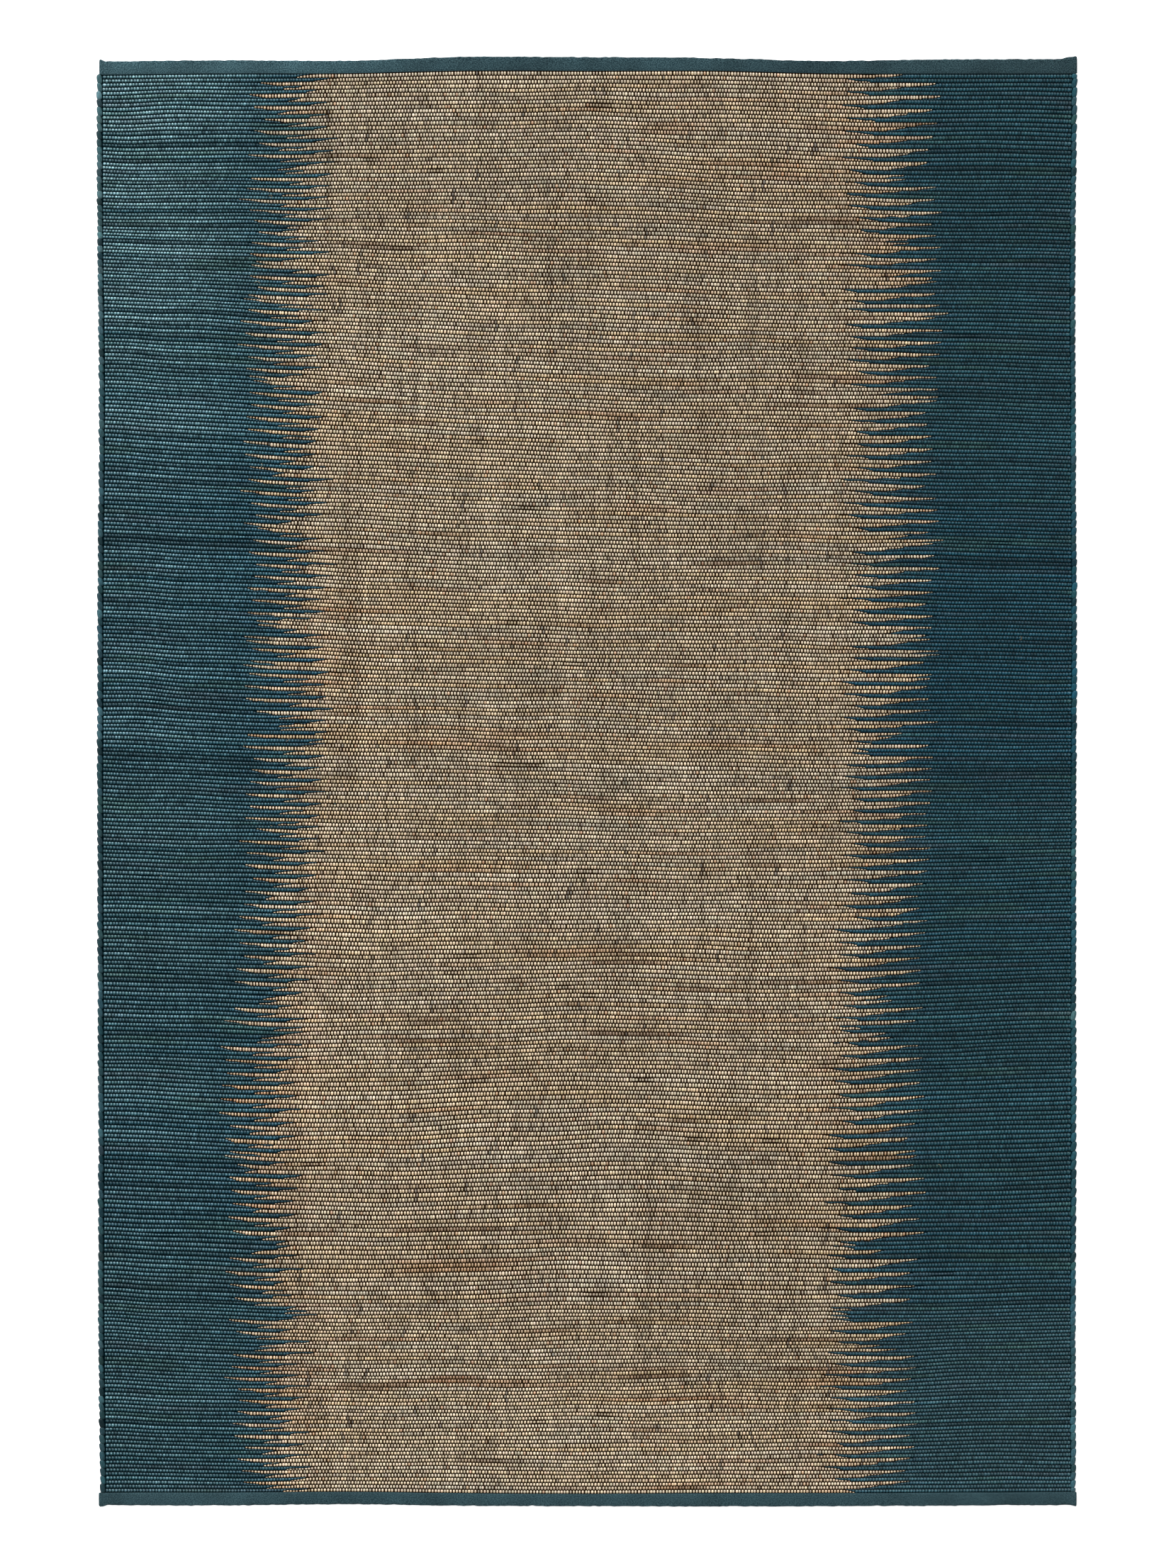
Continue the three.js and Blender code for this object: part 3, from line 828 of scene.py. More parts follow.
# %% Selvedges
def selvedge(name, side, first_row, seed, tone):
    """The grains down the left side, -1, or the right side, 1."""
    side_x = left_side if side < 0 else right_side
    edge_line = lines[:, EDGE_WARP[side]]
    cuts = np.unique(np.concatenate([[0], np.arange(first_row, ROWS, 2), [ROWS]]))
    start, end = edge_line[cuts[:-1]], edge_line[cuts[1:]]
    rows_in = np.diff(cuts)
    draw = np.random.default_rng(seed)
    count = len(start)
    half = (start - end) / 2 * GRAIN_OVERLAP * draw.uniform(*GRAIN_LONG, count)
    wide = GRAIN_WIDE * draw.uniform(*GRAIN_PLUMP, count)
    middle_y = (start + end) / 2
    stray = draw.uniform(-GRAIN_STRAY, GRAIN_STRAY, count)
    middle_x = side_x[cuts[:-1]] - side * (GRAIN_WIDE - GRAIN_OUT + stray)
    lean = -side * GRAIN_LEAN * draw.uniform(*GRAIN_LEANS, count) * np.minimum(rows_in, 2) / 2

    ring = (1 - abs(GRAIN_RINGS) ** GRAIN_BLUNT) ** 0.5
    turn = np.arange(GRAIN_SPOKES) * 2 * math.pi / GRAIN_SPOKES
    along = np.concatenate([[-1], np.repeat(GRAIN_RINGS, GRAIN_SPOKES), [1]])
    out = np.concatenate([[0], np.outer(ring, np.cos(turn)).ravel(), [0]])
    up = np.concatenate([[0], np.outer(ring, np.sin(turn)).ravel(), [0]])
    middle_z = GRAIN_HIGH + GRAIN_CLEAR
    x = wide[:, None] * out
    y = half[:, None] * along
    cos, sin = np.cos(lean)[:, None], np.sin(lean)[:, None]
    points = np.stack([
        middle_x[:, None] + cos * x - sin * y,
        middle_y[:, None] + sin * x + cos * y,
        np.broadcast_to(np.maximum(middle_z + GRAIN_HIGH * up, GRAIN_CLEAR), x.shape),
    ], -1)
    rings, spokes = len(GRAIN_RINGS), GRAIN_SPOKES
    index = 1 + np.arange(rings * spokes).reshape(rings, spokes)
    after = np.roll(index, -1, axis=1)
    body = np.stack([index[:-1], index[1:], after[1:], after[:-1]], -1).reshape(-1, 4)
    tris = [body[:, [0, 1, 2]], body[:, [0, 2, 3]]]
    last = 1 + rings * spokes
    tris.append(np.stack([np.zeros(spokes, int), index[0], after[0]], 1))
    tris.append(np.stack([after[-1], index[-1], np.full(spokes, last)], 1))
    one = np.concatenate(tris)
    faces = (one[None] + np.arange(count)[:, None, None] * points.shape[1]).reshape(-1, 3)
    rows_of = cuts[:-1].clip(0, ROWS - 1)
    tones = teal_yarn[rows_of, EDGE_BEAD[side]] * tone * draw.uniform(*GRAIN_TONES, (count, 1))
    # painted shade on the lower sides of each grain, from its height
    lift = ease(middle_z + abs(points[..., 2] - middle_z), *GRAIN_SHADE)
    colours = np.repeat(tones, points.shape[1], axis=0)
    return make_piece(name, points, faces, colours, lift=lift.ravel(), replaces=["rug_field"])


selvedges = [
    selvedge("selvedge_left", -1, 2, seed=51, tone=0.52),
    selvedge("selvedge_right", 1, 1, seed=52, tone=0.95),
]

# %% [markdown]
# ## The end tapes
#
# A tape is one strip of thin cloth, folded over the end of the rug and sewn through. Its section
# is the same from side to side, a flat U on its side, so it is swept along the end: a ring of
# points at over six hundred places, joined into a closed body. The ends stand out a little at
# the corners. A map in metres, with one direction along the tape and the other over its fold, lets
# the material lay the tape's weave.

# %% Form of the tapes
TAPE_CLOTH = 1.2           # how thick the cloth is
TAPE_HEIGHT = 6.4
TAPE_CAMBER = 0.7          # how far the upper face bulges
TAPE_HEM = 0.9             # how much the turned-in ends stand up
HEM_RISE, HEM_FALL = (0, 2.5), (4.5, 8)   # from the end of the tape
TAPE_PLACES = 640
TAPE_END = np.array([0.3, 0.8, 1.5, 2.3, 3.2, 6.5, 8.0])   # closer places at each end
TAPE_CORNER = 3.2          # radius of the rounded corners
TAPE_RAGGED, TAPE_WAVY = 0.35, 0.15
TAPE_COLOUR = linear(84, 114, 121)

# seam is the dark line between a tape and the row beside it, and contrast that of its weave. At
# each end there is an ear: where the tape ends, how far it stands out, and over what length. The
# tones are places along the tape and how light it is painted there: on the far tape this is
# painted light, bright at the left end and falling off to the right.
FAR.update(
    seam=1.0, contrast=1.0, ears=((-1011, 5, 14), (1016, 6, 42)),
    tones=((-1000, -500, -350, 200, 1000), (1.5, 1.42, 1.05, 0.95, 0.75)),
)
NEAR.update(
    seam=0.3, contrast=0.6, ears=((-1012, 3, 24), (1015, 3, 12)),
    tones=((-1000, 1000), (1, 0.95)),
)
print("each tape is shaped at about", TAPE_PLACES, "places")


# %% Section of a tape
def tape_section(reach, inset):
    """Distance from the inner edge and height, from the top edge over the fold to the floor."""
    radius = TAPE_HEIGHT / 2
    turn = np.linspace(math.pi / 2, -math.pi / 2, 9)
    flat = np.array([0.0, 0.02, 0.2, 0.5, 0.8])
    rise = TAPE_CAMBER * np.array([0.0, 0.4, 0.9, 1.0, 0.55])
    out_flat = flat[None, :] * (reach - radius)[:, None]
    out_turn = (reach - radius)[:, None] + (radius - inset) * np.cos(turn)[None, :]
    out = np.concatenate([out_flat, out_turn, np.zeros((len(reach), 1))], 1)
    high_turn = radius + (radius - inset) * np.sin(turn)
    high = np.concatenate([TAPE_HEIGHT - inset + rise, high_turn, [inset]])
    return out, np.broadcast_to(high, out.shape)


# %% End tapes
def end_tape(name, tape, seed, cad_node):
    sign, ears = tape["sign"], tape["ears"]
    x = np.linspace(ears[0][0], ears[1][0], TAPE_PLACES)
    x = np.unique(np.concatenate([x, ears[0][0] + TAPE_END, ears[1][0] - TAPE_END]))
    from_end = np.minimum(x - x[0], x[-1] - x)
    at = np.clip(x / (RUG_WIDTH / 2 - SHOULDER), -1, 1)
    edge = tape_edge(tape, at) + sign * tape["seam"]
    fold = tape["reach"] + smooth_at(END_LINE[:, 0], END_LINE[:, tape["fold"]], at)
    for end, reach_out, length in ears:
        fold += reach_out * ease(length - abs(x - end), 0, length)
    ragged = soft_noise((len(x), 1), (1.0, 0), seed)[:, 0]
    wavy = soft_noise((len(x), 1), (9, 0), seed + 1)[:, 0]
    cut_corner = TAPE_CORNER - np.sqrt(
        TAPE_CORNER ** 2 - np.clip(TAPE_CORNER - from_end, 0, TAPE_CORNER) ** 2
    )
    fold += TAPE_RAGGED * ragged + TAPE_WAVY * wavy - cut_corner
    edge += sign * (0.5 * cut_corner - TAPE_WAVY * wavy)
    outer, outer_high = tape_section(fold - abs(edge), 0.0)
    inner, inner_high = tape_section(fold - abs(edge), TAPE_CLOTH)
    out = np.concatenate([outer, inner[:, ::-1]], 1)
    high = np.concatenate([outer_high, inner_high[:, ::-1]], 1)
    hem = TAPE_HEM * ease(from_end, *HEM_RISE) * (1 - ease(from_end, *HEM_FALL))
    high = high + (0.12 * wavy + hem)[:, None] * (high > TAPE_HEIGHT / 2)
    points = np.stack([
        np.broadcast_to(x[:, None], out.shape), edge[:, None] + sign * out, high
    ], -1)
    places, ring = out.shape
    index = np.arange(places * ring).reshape(places, ring)
    after = np.roll(index, -1, axis=1)
    sides = np.stack([index[:-1], index[1:], after[1:], after[:-1]], -1).reshape(-1, 4)
    half = ring // 2
    caps = []
    for k, flip in ((0, False), (-1, True)):
        a, b = index[k, :half - 1], index[k, 1:half]
        c, d = index[k, ::-1][1:half], index[k, ::-1][:half - 1]
        cap = np.stack([a, b, c, d], 1)
        caps.append(cap[:, ::-1] if flip else cap)
    faces = np.concatenate([sides, *caps])
    if sign > 0:
        faces = faces[:, ::-1]
    run = np.concatenate([
        np.zeros((places, 1)),
        np.cumsum(np.hypot(np.diff(outer, axis=1), np.diff(outer_high, axis=1)), 1),
    ], 1)
    run = np.concatenate([run, run[:, ::-1]], 1)
    # painted light: the tape's tone follows its tones, lightest at the far tape's left end
    tone = np.interp(x, *tape["tones"]) * (1 + 0.05 * wavy)
    colours = np.repeat(TAPE_COLOUR * tone[:, None], ring, axis=0)
    unrolled = np.stack([np.broadcast_to(x[:, None], run.shape), run], -1).reshape(-1, 2) * MM
    return make_piece(
        name, points, faces, colours, lift=tape["contrast"],
        flat_map=("tape_map", unrolled[faces.ravel()]), replaces=[cad_node],
    )


end_tapes = [
    end_tape("tape_far", FAR, 61, "binding_far"),
    end_tape("tape_near", NEAR, 63, "binding_near"),
]

# %% [markdown]
# ## Loose fibres
#
# Jute sheds. A few stray fibres lie on the beads, most of them near the joins, in straw or in the
# teal of the sides. Each is a thin three-sided tube along a bent line.

# %% Loose fibres
FIBRES = 70
FIBRE_STEPS = 8
FIBRE_RADIUS = 0.22
FIBRE_LENGTHS = (4, 17)
FIBRE_HEIGHT, FIBRE_RISE = 7.7, 0.9
FIBRE_TURN, FIBRE_BEND = 0.7, 1.7   # radians
JOIN_SPREAD = 60
FIELD_X, FIELD_Y, JOIN_X = 960, 1440, 620.0   # where they may lie, and the joins' distance


def loose_fibres():
    """Points, faces and colours. A fibre is a heading, a bend and a length."""
    draw = np.random.default_rng(71)
    x = draw.uniform(-FIELD_X, FIELD_X, FIBRES)
    near_join = np.arange(FIBRES) % 3 > 0
    sides = np.where(draw.random(FIBRES) < 0.5, -JOIN_X, JOIN_X)
    x[near_join] = sides[near_join] + draw.normal(0, JOIN_SPREAD, near_join.sum())
    y = draw.uniform(-FIELD_Y, FIELD_Y, FIBRES)
    length = draw.uniform(*FIBRE_LENGTHS, FIBRES)
    heading = draw.normal(0, FIBRE_TURN, FIBRES)
    bend = draw.normal(0, FIBRE_BEND, FIBRES)
    t = np.linspace(0, 1, FIBRE_STEPS)
    angle = heading[:, None] + bend[:, None] * t
    step = length[:, None] / (FIBRE_STEPS - 1)
    path_x = x[:, None] + np.cumsum(np.cos(angle) * step, 1)
    path_y = y[:, None] + np.cumsum(np.sin(angle) * step, 1)
    rise = FIBRE_RISE * np.sin(math.pi * t)[None, :] * draw.uniform(0.3, 1, FIBRES)[:, None]
    path_z = FIBRE_HEIGHT + rise
    turn = np.arange(3) * 2 * math.pi / 3
    taper = np.sqrt(np.sin(math.pi * np.linspace(0.06, 0.94, FIBRE_STEPS)))
    thin = (FIBRE_RADIUS * taper)[None, :, None]
    points = np.stack([
        path_x[..., None] - np.sin(angle)[..., None] * np.cos(turn) * thin,
        path_y[..., None] + np.cos(angle)[..., None] * np.cos(turn) * thin,
        path_z[..., None] + np.sin(turn) * thin,
    ], -1)
    index = np.arange(FIBRES * FIBRE_STEPS * 3).reshape(FIBRES, FIBRE_STEPS, 3)
    after = np.roll(index, -1, axis=2)
    sides = [
        np.stack([index[:, :-1], index[:, 1:], after[:, 1:]], -1).reshape(-1, 3),
        np.stack([index[:, :-1], after[:, 1:], after[:, :-1]], -1).reshape(-1, 3),
        index[:, 0],
        index[:, -1, ::-1],
    ]
    from_side = (abs(x) > 700) & (draw.random(FIBRES) < 0.6)
    tones = np.where(from_side[:, None], PALE_TEAL * 0.6, TAN * 0.7)
    return points, np.concatenate(sides), np.repeat(tones, FIBRE_STEPS * 3, axis=0)


fibre_points, fibre_faces, fibre_colours = loose_fibres()
fibres = make_piece("loose_fibres", fibre_points, fibre_faces, fibre_colours)

# %% [markdown]
# ## Shader groups
#
# Three effects are used in several materials, so each is a node group with named inputs. The jute
# grain is long thin fibres along the yarn, from noise that is stretched a lot more across than
# along. The bead form reads a place on a bead's map and gives the lift over the gaps, the place of
# a painted glint near the crown and the strokes of the twisted plies. The bead shade puts the
# colour together: the yarn's own on top, a painted shade colour in the gaps where the lift is low,
# the grain laid over it and the painted glint, which makes the crown paler.

# %% Node helpers
NUMBER, COLOUR = "NodeSocketFloat", "NodeSocketColor"
MIX_A, MIX_B, MIXED = 6, 7, 2   # the colour sockets of a Mix node, which share their names


def feed(tree, made, inputs):
    """Set a node's inputs to numbers, or link them to the outputs of other nodes."""
    for socket, value in inputs.items():
        if isinstance(value, bpy.types.NodeSocket):
            tree.links.new(value, made.inputs[socket])
        else:
            made.inputs[socket].default_value = value


def node(tree, kind, inputs={}, **settings):
    made = tree.nodes.new(kind)
    for key, value in settings.items():
        setattr(made, key, value)
    feed(tree, made, inputs)
    return made


def maths(tree, operation, *values):
    """The output of a Math node."""
    return node(tree, "ShaderNodeMath", dict(enumerate(values)), operation=operation).outputs[0]


def new_group(name, inputs, outputs):
    """A group with number or colour sockets, what is given to it, and its output node."""
    tree = bpy.data.node_groups.new(name, "ShaderNodeTree")
    for socket, kind, value in inputs:
        made = tree.interface.new_socket(name=socket, in_out="INPUT", socket_type=kind)
        made.default_value = value
    for socket, kind in outputs:
        tree.interface.new_socket(name=socket, in_out="OUTPUT", socket_type=kind)
    print(f"group {name} gives", [socket for socket, kind in outputs])
    return tree, node(tree, "NodeGroupInput").outputs, node(tree, "NodeGroupOutput")


# %% Jute grain
grain, grain_in, grain_out = new_group(
    "jute_grain",
    [
        ("Fibres across", NUMBER, 900.0),
        ("Fibres along", NUMBER, 110.0),
        ("Roughness", NUMBER, 0.6),
    ],
    [("Streak", NUMBER)],
)
place = node(grain, "ShaderNodeTexCoord").outputs["Object"]
stretch_by = node(grain, "ShaderNodeCombineXYZ", {
    "X": grain_in["Fibres along"],
    "Y": grain_in["Fibres across"],
    "Z": grain_in["Fibres across"],
})
stretched = node(
    grain, "ShaderNodeVectorMath", {0: place, 1: stretch_by.outputs[0]}, operation="MULTIPLY"
)
fibre_noise = node(grain, "ShaderNodeTexNoise", {
    "Vector": stretched.outputs[0],
    "Scale": 1.0,
    "Detail": 3.0,
    "Roughness": grain_in["Roughness"],
})
feed(grain, grain_out, {"Streak": fibre_noise.outputs["Fac"]})

# %% Bead form
PLY_TURNS = 1.6            # how often the plies of the yarn show on a bead
# the painted glint is a lighter spot on each bead, put where the light would catch it
GLINT_OFF = -0.7           # the light makes the crown show off the bead's middle
GLINT_ACROSS, GLINT_ALONG = 2.0, 1.5   # above 1, it is smaller than the bead

form, form_in, form_out = new_group(
    "bead_form",
    [
        ("Along", NUMBER, 0.0),
        ("Across", NUMBER, 0.0),
        ("End weight", NUMBER, 1.0),
        ("Squareness", NUMBER, 3.0),
    ],
    [("Lift", NUMBER), ("Painted glint", NUMBER), ("Ply", NUMBER)],
)
weighted = maths(form, "MULTIPLY", form_in["Along"], form_in["End weight"])
powers = [
    maths(form, "POWER", maths(form, "ABSOLUTE", value), form_in["Squareness"])
    for value in (weighted, form_in["Across"])
]
root = maths(form, "DIVIDE", 1.0, form_in["Squareness"])
distance = maths(form, "POWER", maths(form, "ADD", *powers), root)
# painted glint: a soft spot near each bead's crown
up = maths(form, "MULTIPLY_ADD", form_in["Across"], GLINT_ACROSS, GLINT_OFF)
sideways = maths(form, "MULTIPLY", form_in["Along"], GLINT_ALONG)
squares = [maths(form, "MULTIPLY", way, way) for way in (up, sideways)]
crown = node(form, "ShaderNodeMapRange", {
    "Value": maths(form, "ADD", *squares), "To Min": 1.0, "To Max": 0.0,
}, interpolation_type="SMOOTHSTEP")
twist = maths(form, "SUBTRACT", form_in["Along"], form_in["Across"])
feed(form, form_out, {
    "Lift": maths(form, "SUBTRACT", 1.0, distance),
    "Painted glint": crown.outputs["Result"],
    "Ply": maths(form, "SINE", maths(form, "MULTIPLY", twist, PLY_TURNS * math.pi)),
})

# %% Bead shade
# how much the painted glint takes the colour out of a crown
GLINT_SATURATION = 0.6

shade, shade_in, shade_out = new_group(
    "bead_shade",
    [
        ("Yarn", COLOUR, (0.5, 0.5, 0.5, 1)),
        ("Lift", NUMBER, 1.0),
        ("Streak", NUMBER, 0.5),
        ("Painted gap shade", COLOUR, (0.01, 0.01, 0.01, 1)),
        ("Full at", NUMBER, 0.5),
        ("Streak depth", NUMBER, 0.3),
        ("Painted glint", NUMBER, 0.0),
        ("Painted glint strength", NUMBER, 0.0),
    ],
    [("Colour", COLOUR)],
)
# painted shade: where the lift is low, the colour goes over to the dark shade colour of the gaps
from_gap = node(shade, "ShaderNodeMapRange", {
    "Value": shade_in["Lift"], "From Max": shade_in["Full at"],
}, interpolation_type="SMOOTHSTEP")
centred = maths(shade, "SUBTRACT", shade_in["Streak"], 0.5)
streak_tone = maths(shade, "MULTIPLY_ADD", centred, shade_in["Streak depth"], 1.0)
toned = node(shade, "ShaderNodeVectorMath", operation="SCALE")
feed(shade, toned, {0: shade_in["Yarn"], "Scale": streak_tone})
with_painted_gap_shade = node(shade, "ShaderNodeMix", {
    "Factor": from_gap.outputs["Result"],
    MIX_A: shade_in["Painted gap shade"],
    MIX_B: toned.outputs[0],
}, data_type="RGBA")
# painted highlight: the glint makes the crown's colour paler and lighter
with_painted_glint = node(shade, "ShaderNodeHueSaturation", {
    "Saturation": GLINT_SATURATION,
    "Value": maths(shade, "ADD", 1.0, shade_in["Painted glint strength"]),
    "Fac": shade_in["Painted glint"],
    "Color": with_painted_gap_shade.outputs[MIXED],
})
feed(shade, shade_out, {"Colour": with_painted_glint.outputs["Color"]})
print("groups:", [group.name for group in bpy.data.node_groups])

# %% [markdown]
# ## The yarn materials
#
# The undyed yarn is matt and the dyed yarn a little glossy. Both get a painted glint on their
# crowns, strongest on the teal at the paler left side.
# All of them read the yarn's colour from the mesh. They differ in where the lift comes from: on a
# weft from the bead's own map, on the underside from a map that counts beads along the rib, and
# elsewhere from the mesh. Each paints shade into the gaps in a dark colour of its own.

# %% Where a bead's form comes from
RIB_BEAD, RIB_OFF = 2.6, -1.3   # a bead on a rib and its gap, on a bead's own scale


def bead_from_mesh(tree, bead, streak):
    lift = node(tree, "ShaderNodeAttribute", attribute_name="lift")
    feed(tree, bead, {"Lift": lift.outputs["Fac"], "Streak": streak})


def bead_from_map(tree, bead, streak, map_name="bead_map", end_weight=1.0, ply_depth=0.06):
    at = node(tree, "ShaderNodeUVMap", uv_map=map_name)
    split = node(tree, "ShaderNodeSeparateXYZ", {0: at.outputs["UV"]})
    along = split.outputs["X"]
    if map_name == "rib_map":
        along = maths(tree, "MULTIPLY_ADD", maths(tree, "FRACT", along), RIB_BEAD, RIB_OFF)
    shape = node(tree, "ShaderNodeGroup", node_tree=form)
    feed(tree, shape, {"Along": along, "Across": split.outputs["Y"], "End weight": end_weight})
    feed(tree, bead, {
        "Lift": shape.outputs["Lift"],
        "Painted glint": shape.outputs["Painted glint"],
        "Streak": maths(tree, "MULTIPLY_ADD", shape.outputs["Ply"], ply_depth, streak),
    })


def teal_bead_from_map(tree, bead, streak):
    """The left side of the rug is paler, partly from fading, and gets a stronger painted glint;
    the right side less.
    """
    bead_from_map(tree, bead, streak, end_weight=0.68, ply_depth=0.15)
    place = node(tree, "ShaderNodeTexCoord").outputs["Object"]
    split = node(tree, "ShaderNodeSeparateXYZ", {0: place})
    painted_glint_strength = node(tree, "ShaderNodeMapRange", {
        "Value": split.outputs["X"],
        "From Min": -1.0, "From Max": 0.7,   # metres across the rug
        "To Min": 1.75, "To Max": 0.75,
    })
    feed(tree, bead, {"Painted glint strength": painted_glint_strength.outputs["Result"]})


def bead_along_rib(tree, bead, streak):
    bead_from_map(tree, bead, streak, map_name="rib_map")


# %% Material helpers
RELIEF = 0.0006            # metres between the low and the high places of the fibres


def new_material(name):
    material = bpy.data.materials.new(name)
    material.use_nodes = True
    return material, material.node_tree


def lay_cloth(tree, colour, height, roughness, level, bump):
    """The shader's own sockets, with the colour and a relief from the height."""
    relief = node(tree, "ShaderNodeBump", {"Strength": bump, "Distance": RELIEF, "Height": height})
    feed(tree, tree.nodes["Principled BSDF"], {
        "Base Color": colour,
        "Normal": relief.outputs["Normal"],
        "Roughness": roughness,
        "Specular IOR Level": level,
    })


def yarn_material(name, lay_bead, shade_with, roughness, level, bump, grain_with={}):
    """A yarn. shade_with and grain_with hold the values for the two groups."""
    material, tree = new_material(name)
    yarn = node(tree, "ShaderNodeAttribute", attribute_name="yarn")
    fibres = node(tree, "ShaderNodeGroup", node_tree=grain)
    feed(tree, fibres, grain_with)
    bead = node(tree, "ShaderNodeGroup", node_tree=shade)
    feed(tree, bead, {"Yarn": yarn.outputs["Color"], **shade_with})
    lay_bead(tree, bead, fibres.outputs["Streak"])
    lay_cloth(tree, bead.outputs["Colour"], fibres.outputs["Streak"], roughness, level, bump)
    return material


def finish(pieces, material):
    for piece in pieces:
        piece.data.materials.append(material)


# the dark colour painted into the gaps between the beads as shade
def gap(red, green, blue):
    return (*linear(red, green, blue), 1)


# %% Yarn materials
on_natural = {"Painted gap shade": gap(36, 20, 0), "Full at": 0.36, "Streak depth": 1.3, "Painted glint strength": 0.3}
on_teal = {"Painted gap shade": gap(0, 20, 26), "Full at": 0.64, "Streak depth": 2.6}
on_wound = {"Painted gap shade": gap(0, 22, 28), "Full at": 1.0, "Streak depth": 2.2}
on_ribs = {"Painted gap shade": gap(20, 22, 20), "Full at": 0.36, "Streak depth": 1.1}
on_warp = {"Painted gap shade": gap(20, 20, 14), "Full at": 0.5}
along_edge = {"Fibres across": 160.0, "Fibres along": 900.0}   # the fibres run down the edge

# the roughness, the specular level and the strength of the bump
natural_jute = yarn_material("natural_jute", bead_from_map, on_natural, 0.8, 0.12, 0.5)
teal_jute = yarn_material("teal_jute", teal_bead_from_map, on_teal, 0.45, 0.1, 0.6)
wound_teal = yarn_material(
    "wound_teal_jute", bead_from_mesh, on_wound, 0.45, 0.12, 0.9, along_edge
)
under_rows = yarn_material("rows_underneath", bead_along_rib, on_ribs, 0.9, 0.1, 0.5)
shadowed_warp = yarn_material("shadowed_warp", bead_from_mesh, on_warp, 1.0, 0.0, 0.2)
loose_jute = yarn_material("loose_jute", bead_from_mesh, {}, 0.8, 0.1, 0.2)
finish(natural_wefts, natural_jute)
finish([fibres], loose_jute)
finish(teal_wefts, teal_jute)
finish(selvedges, wound_teal)
finish([underside_rows], under_rows)
finish([shaded_warp_ground], shadowed_warp)
print("materials:", [material.name for material in bpy.data.materials])

# %% [markdown]
# ## The tape material
#
# The tape is a fine diagonal weave in the same teal. Two waves at right angles, one along the
# tape and one over its fold, multiply into a field of small dots. They give both the colour and
# the relief, and two noises make them uneven. The mesh says how strong the weave shows, because
# the far tape catches more light than the near one. Along the inner edge runs one row of plain
# stitches.

# %% Tape material
TAPE_PITCH = 0.0031        # metres from one dot to the next but one
TAPE_WOBBLE = 2.4          # how far the grain pushes the waves, in radians
TAPE_DOTS = 0.42
SPECKLE, SPECKLE_SCALE = 1.6, 420.0
BROAD_TONE, BROAD_SCALE = (0.7, 0.5), 14.0
EDGE_ROW = 0.0019          # metres from the inner edge
EDGE_DOTS = (0.3, 0.55)
BETWEEN_THREADS, ON_THREADS = (0.02, 0.1, 0.13, 1), (1, 1, 1, 1)


def tape_material():
    material, tree = new_material("end_tape")
    at = node(tree, "ShaderNodeUVMap", uv_map="tape_map")
    split = node(tree, "ShaderNodeSeparateXYZ", {0: at.outputs["UV"]})
    place = node(tree, "ShaderNodeTexCoord").outputs["Object"]
    fibres = node(tree, "ShaderNodeGroup", node_tree=grain)
    feed(tree, fibres, {"Fibres across": 260.0, "Fibres along": 180.0})
    uneven, broad = (
        node(tree, "ShaderNodeTexNoise", {"Scale": scale, "Vector": place}).outputs["Fac"]
        for scale in (SPECKLE_SCALE, BROAD_SCALE)
    )

    wobble = maths(tree, "MULTIPLY", fibres.outputs["Streak"], TAPE_WOBBLE)
    along, over = (
        maths(tree, "SINE", maths(tree, "MULTIPLY_ADD", way, 2 * math.pi / TAPE_PITCH, wobble))
        for way in (split.outputs["X"], split.outputs["Y"])
    )
    contrast = node(tree, "ShaderNodeAttribute", attribute_name="lift").outputs["Fac"]
    shift = maths(tree, "MULTIPLY_ADD", uneven, SPECKLE, -SPECKLE / 2)
    swing = maths(tree, "MULTIPLY_ADD", maths(tree, "MULTIPLY", along, over), TAPE_DOTS, shift)
    height = node(tree, "ShaderNodeMix", {
        "Factor": maths(tree, "LESS_THAN", split.outputs["Y"], EDGE_ROW),
        "A": maths(tree, "MULTIPLY_ADD", swing, contrast, 0.5),
        "B": maths(tree, "MULTIPLY_ADD", along, *EDGE_DOTS),
    }, data_type="FLOAT").outputs["Result"]

    threads = node(tree, "ShaderNodeValToRGB", {"Fac": height})
    low, high = threads.color_ramp.elements
    low.position, low.color = 0.25, BETWEEN_THREADS
    high.position, high.color = 0.95, ON_THREADS
    yarn = node(tree, "ShaderNodeAttribute", attribute_name="yarn")
    dyed_threads = node(tree, "ShaderNodeVectorMath", {
        0: yarn.outputs["Color"], 1: threads.outputs["Color"],
    }, operation="MULTIPLY")
    toned = node(tree, "ShaderNodeVectorMath", operation="SCALE")
    feed(tree, toned, {
        0: dyed_threads.outputs[0], "Scale": maths(tree, "MULTIPLY_ADD", broad, *BROAD_TONE),
    })
    lay_cloth(tree, toned.outputs[0], height, roughness=0.8, level=0.1, bump=0.8)
    return material


finish(end_tapes, tape_material())
print(f"dots of the tape {1000 * TAPE_PITCH / 2:.2f} mm apart")

# %% [markdown]
# ## The floor and the light
#
# The photograph has a white ground, and a soft light from the far side and a little from the left,
# which gives each bead a light and a dark side. A wide sun lights the whole rug evenly, and a
# white sky fills the shadows. The floor glows a little, so that it comes out as white as the
# photograph's ground without more light on the rug.

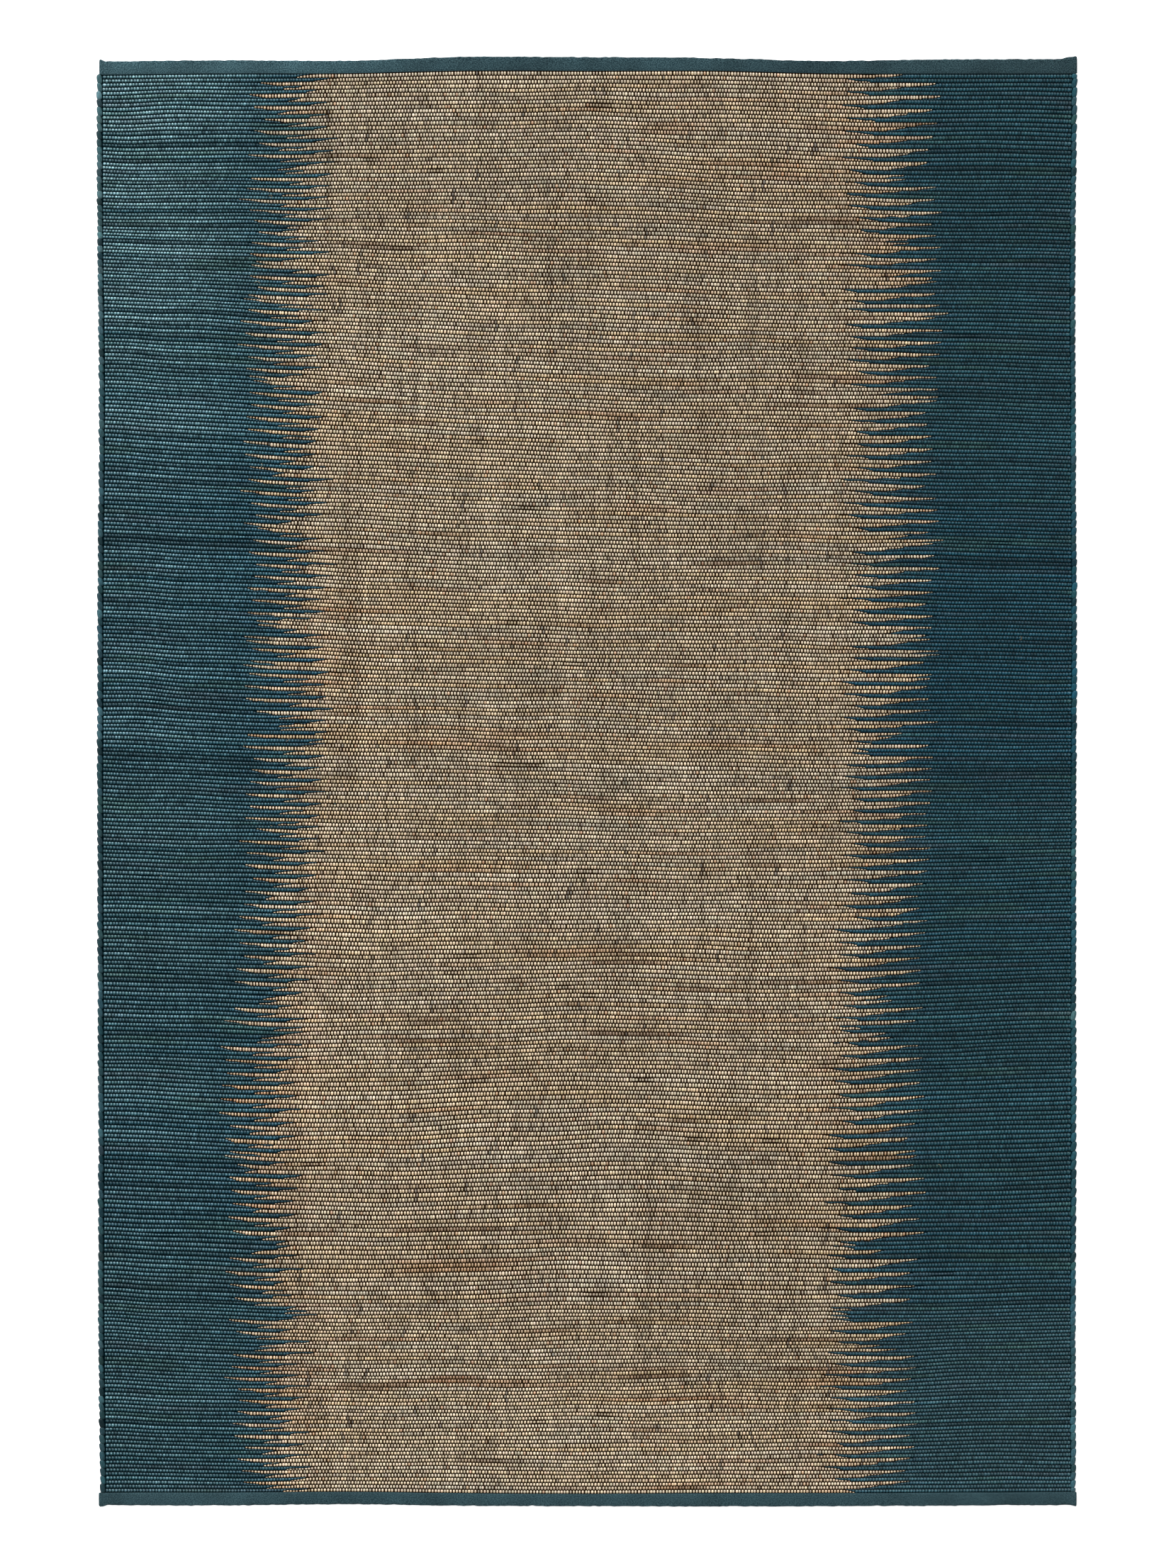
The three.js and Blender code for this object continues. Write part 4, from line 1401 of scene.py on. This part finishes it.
# %% Floor
FLOOR = 30                 # metres from the middle to a side
FLOOR_DROP = 0.0005
floor_corners = [(-FLOOR, -FLOOR, 0), (FLOOR, -FLOOR, 0), (FLOOR, FLOOR, 0), (-FLOOR, FLOOR, 0)]
floor_mesh = bpy.data.meshes.new("floor")
floor_mesh.from_pydata(floor_corners, [], [(0, 1, 2, 3)])
floor = bpy.data.objects.new("floor", floor_mesh)
floor.location.z = -FLOOR_DROP
bpy.context.scene.collection.objects.link(floor)
floor_paint, floor_tree = new_material("floor_paint")
feed(floor_tree, floor_tree.nodes["Principled BSDF"], {
    "Base Color": (0.9, 0.9, 0.9, 1),
    "Roughness": 0.9,
    "Emission Color": (1, 1, 1, 1),
    "Emission Strength": 0.65,
})
floor_mesh.materials.append(floor_paint)
floor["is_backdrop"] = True
print("floor", 2 * FLOOR, "m wide")

# %% Light
SUN_STRENGTH, SUN_SPREAD = 3.3, 14   # the spread in degrees makes the shadows soft
SUN_LEAN, SUN_TURN = 53, 205         # degrees
SKY_STRENGTH = 0.5
sun_data = bpy.data.lights.new("sun", "SUN")
sun_data.energy = SUN_STRENGTH
sun_data.angle = math.radians(SUN_SPREAD)
sun = bpy.data.objects.new("sun", sun_data)
sun.rotation_euler = (math.radians(SUN_LEAN), 0, math.radians(SUN_TURN))
bpy.context.scene.collection.objects.link(sun)
world = bpy.data.worlds.new("sky")
world.use_nodes = True
sky = {"Color": (1, 1, 1, 1), "Strength": SKY_STRENGTH}
feed(world.node_tree, world.node_tree.nodes["Background"], sky)
bpy.context.scene.world = world
bpy.context.scene.view_settings.view_transform = "Standard"
print("sun", SUN_STRENGTH, "sky", SKY_STRENGTH)

# %% [markdown]
# ## The triangles and the box
#
# The last lines count the triangles and work out the CAD box and the box of what was made.

# %% Count and finish
triangles = sum(
    len(face.vertices) - 2 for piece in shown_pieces() for face in piece.data.polygons
)
print(triangles, "triangles")


def plain(value):
    return [plain(v) for v in value] if hasattr(value, "__len__") else float(value)


plain(cad_box)
plain(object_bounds())
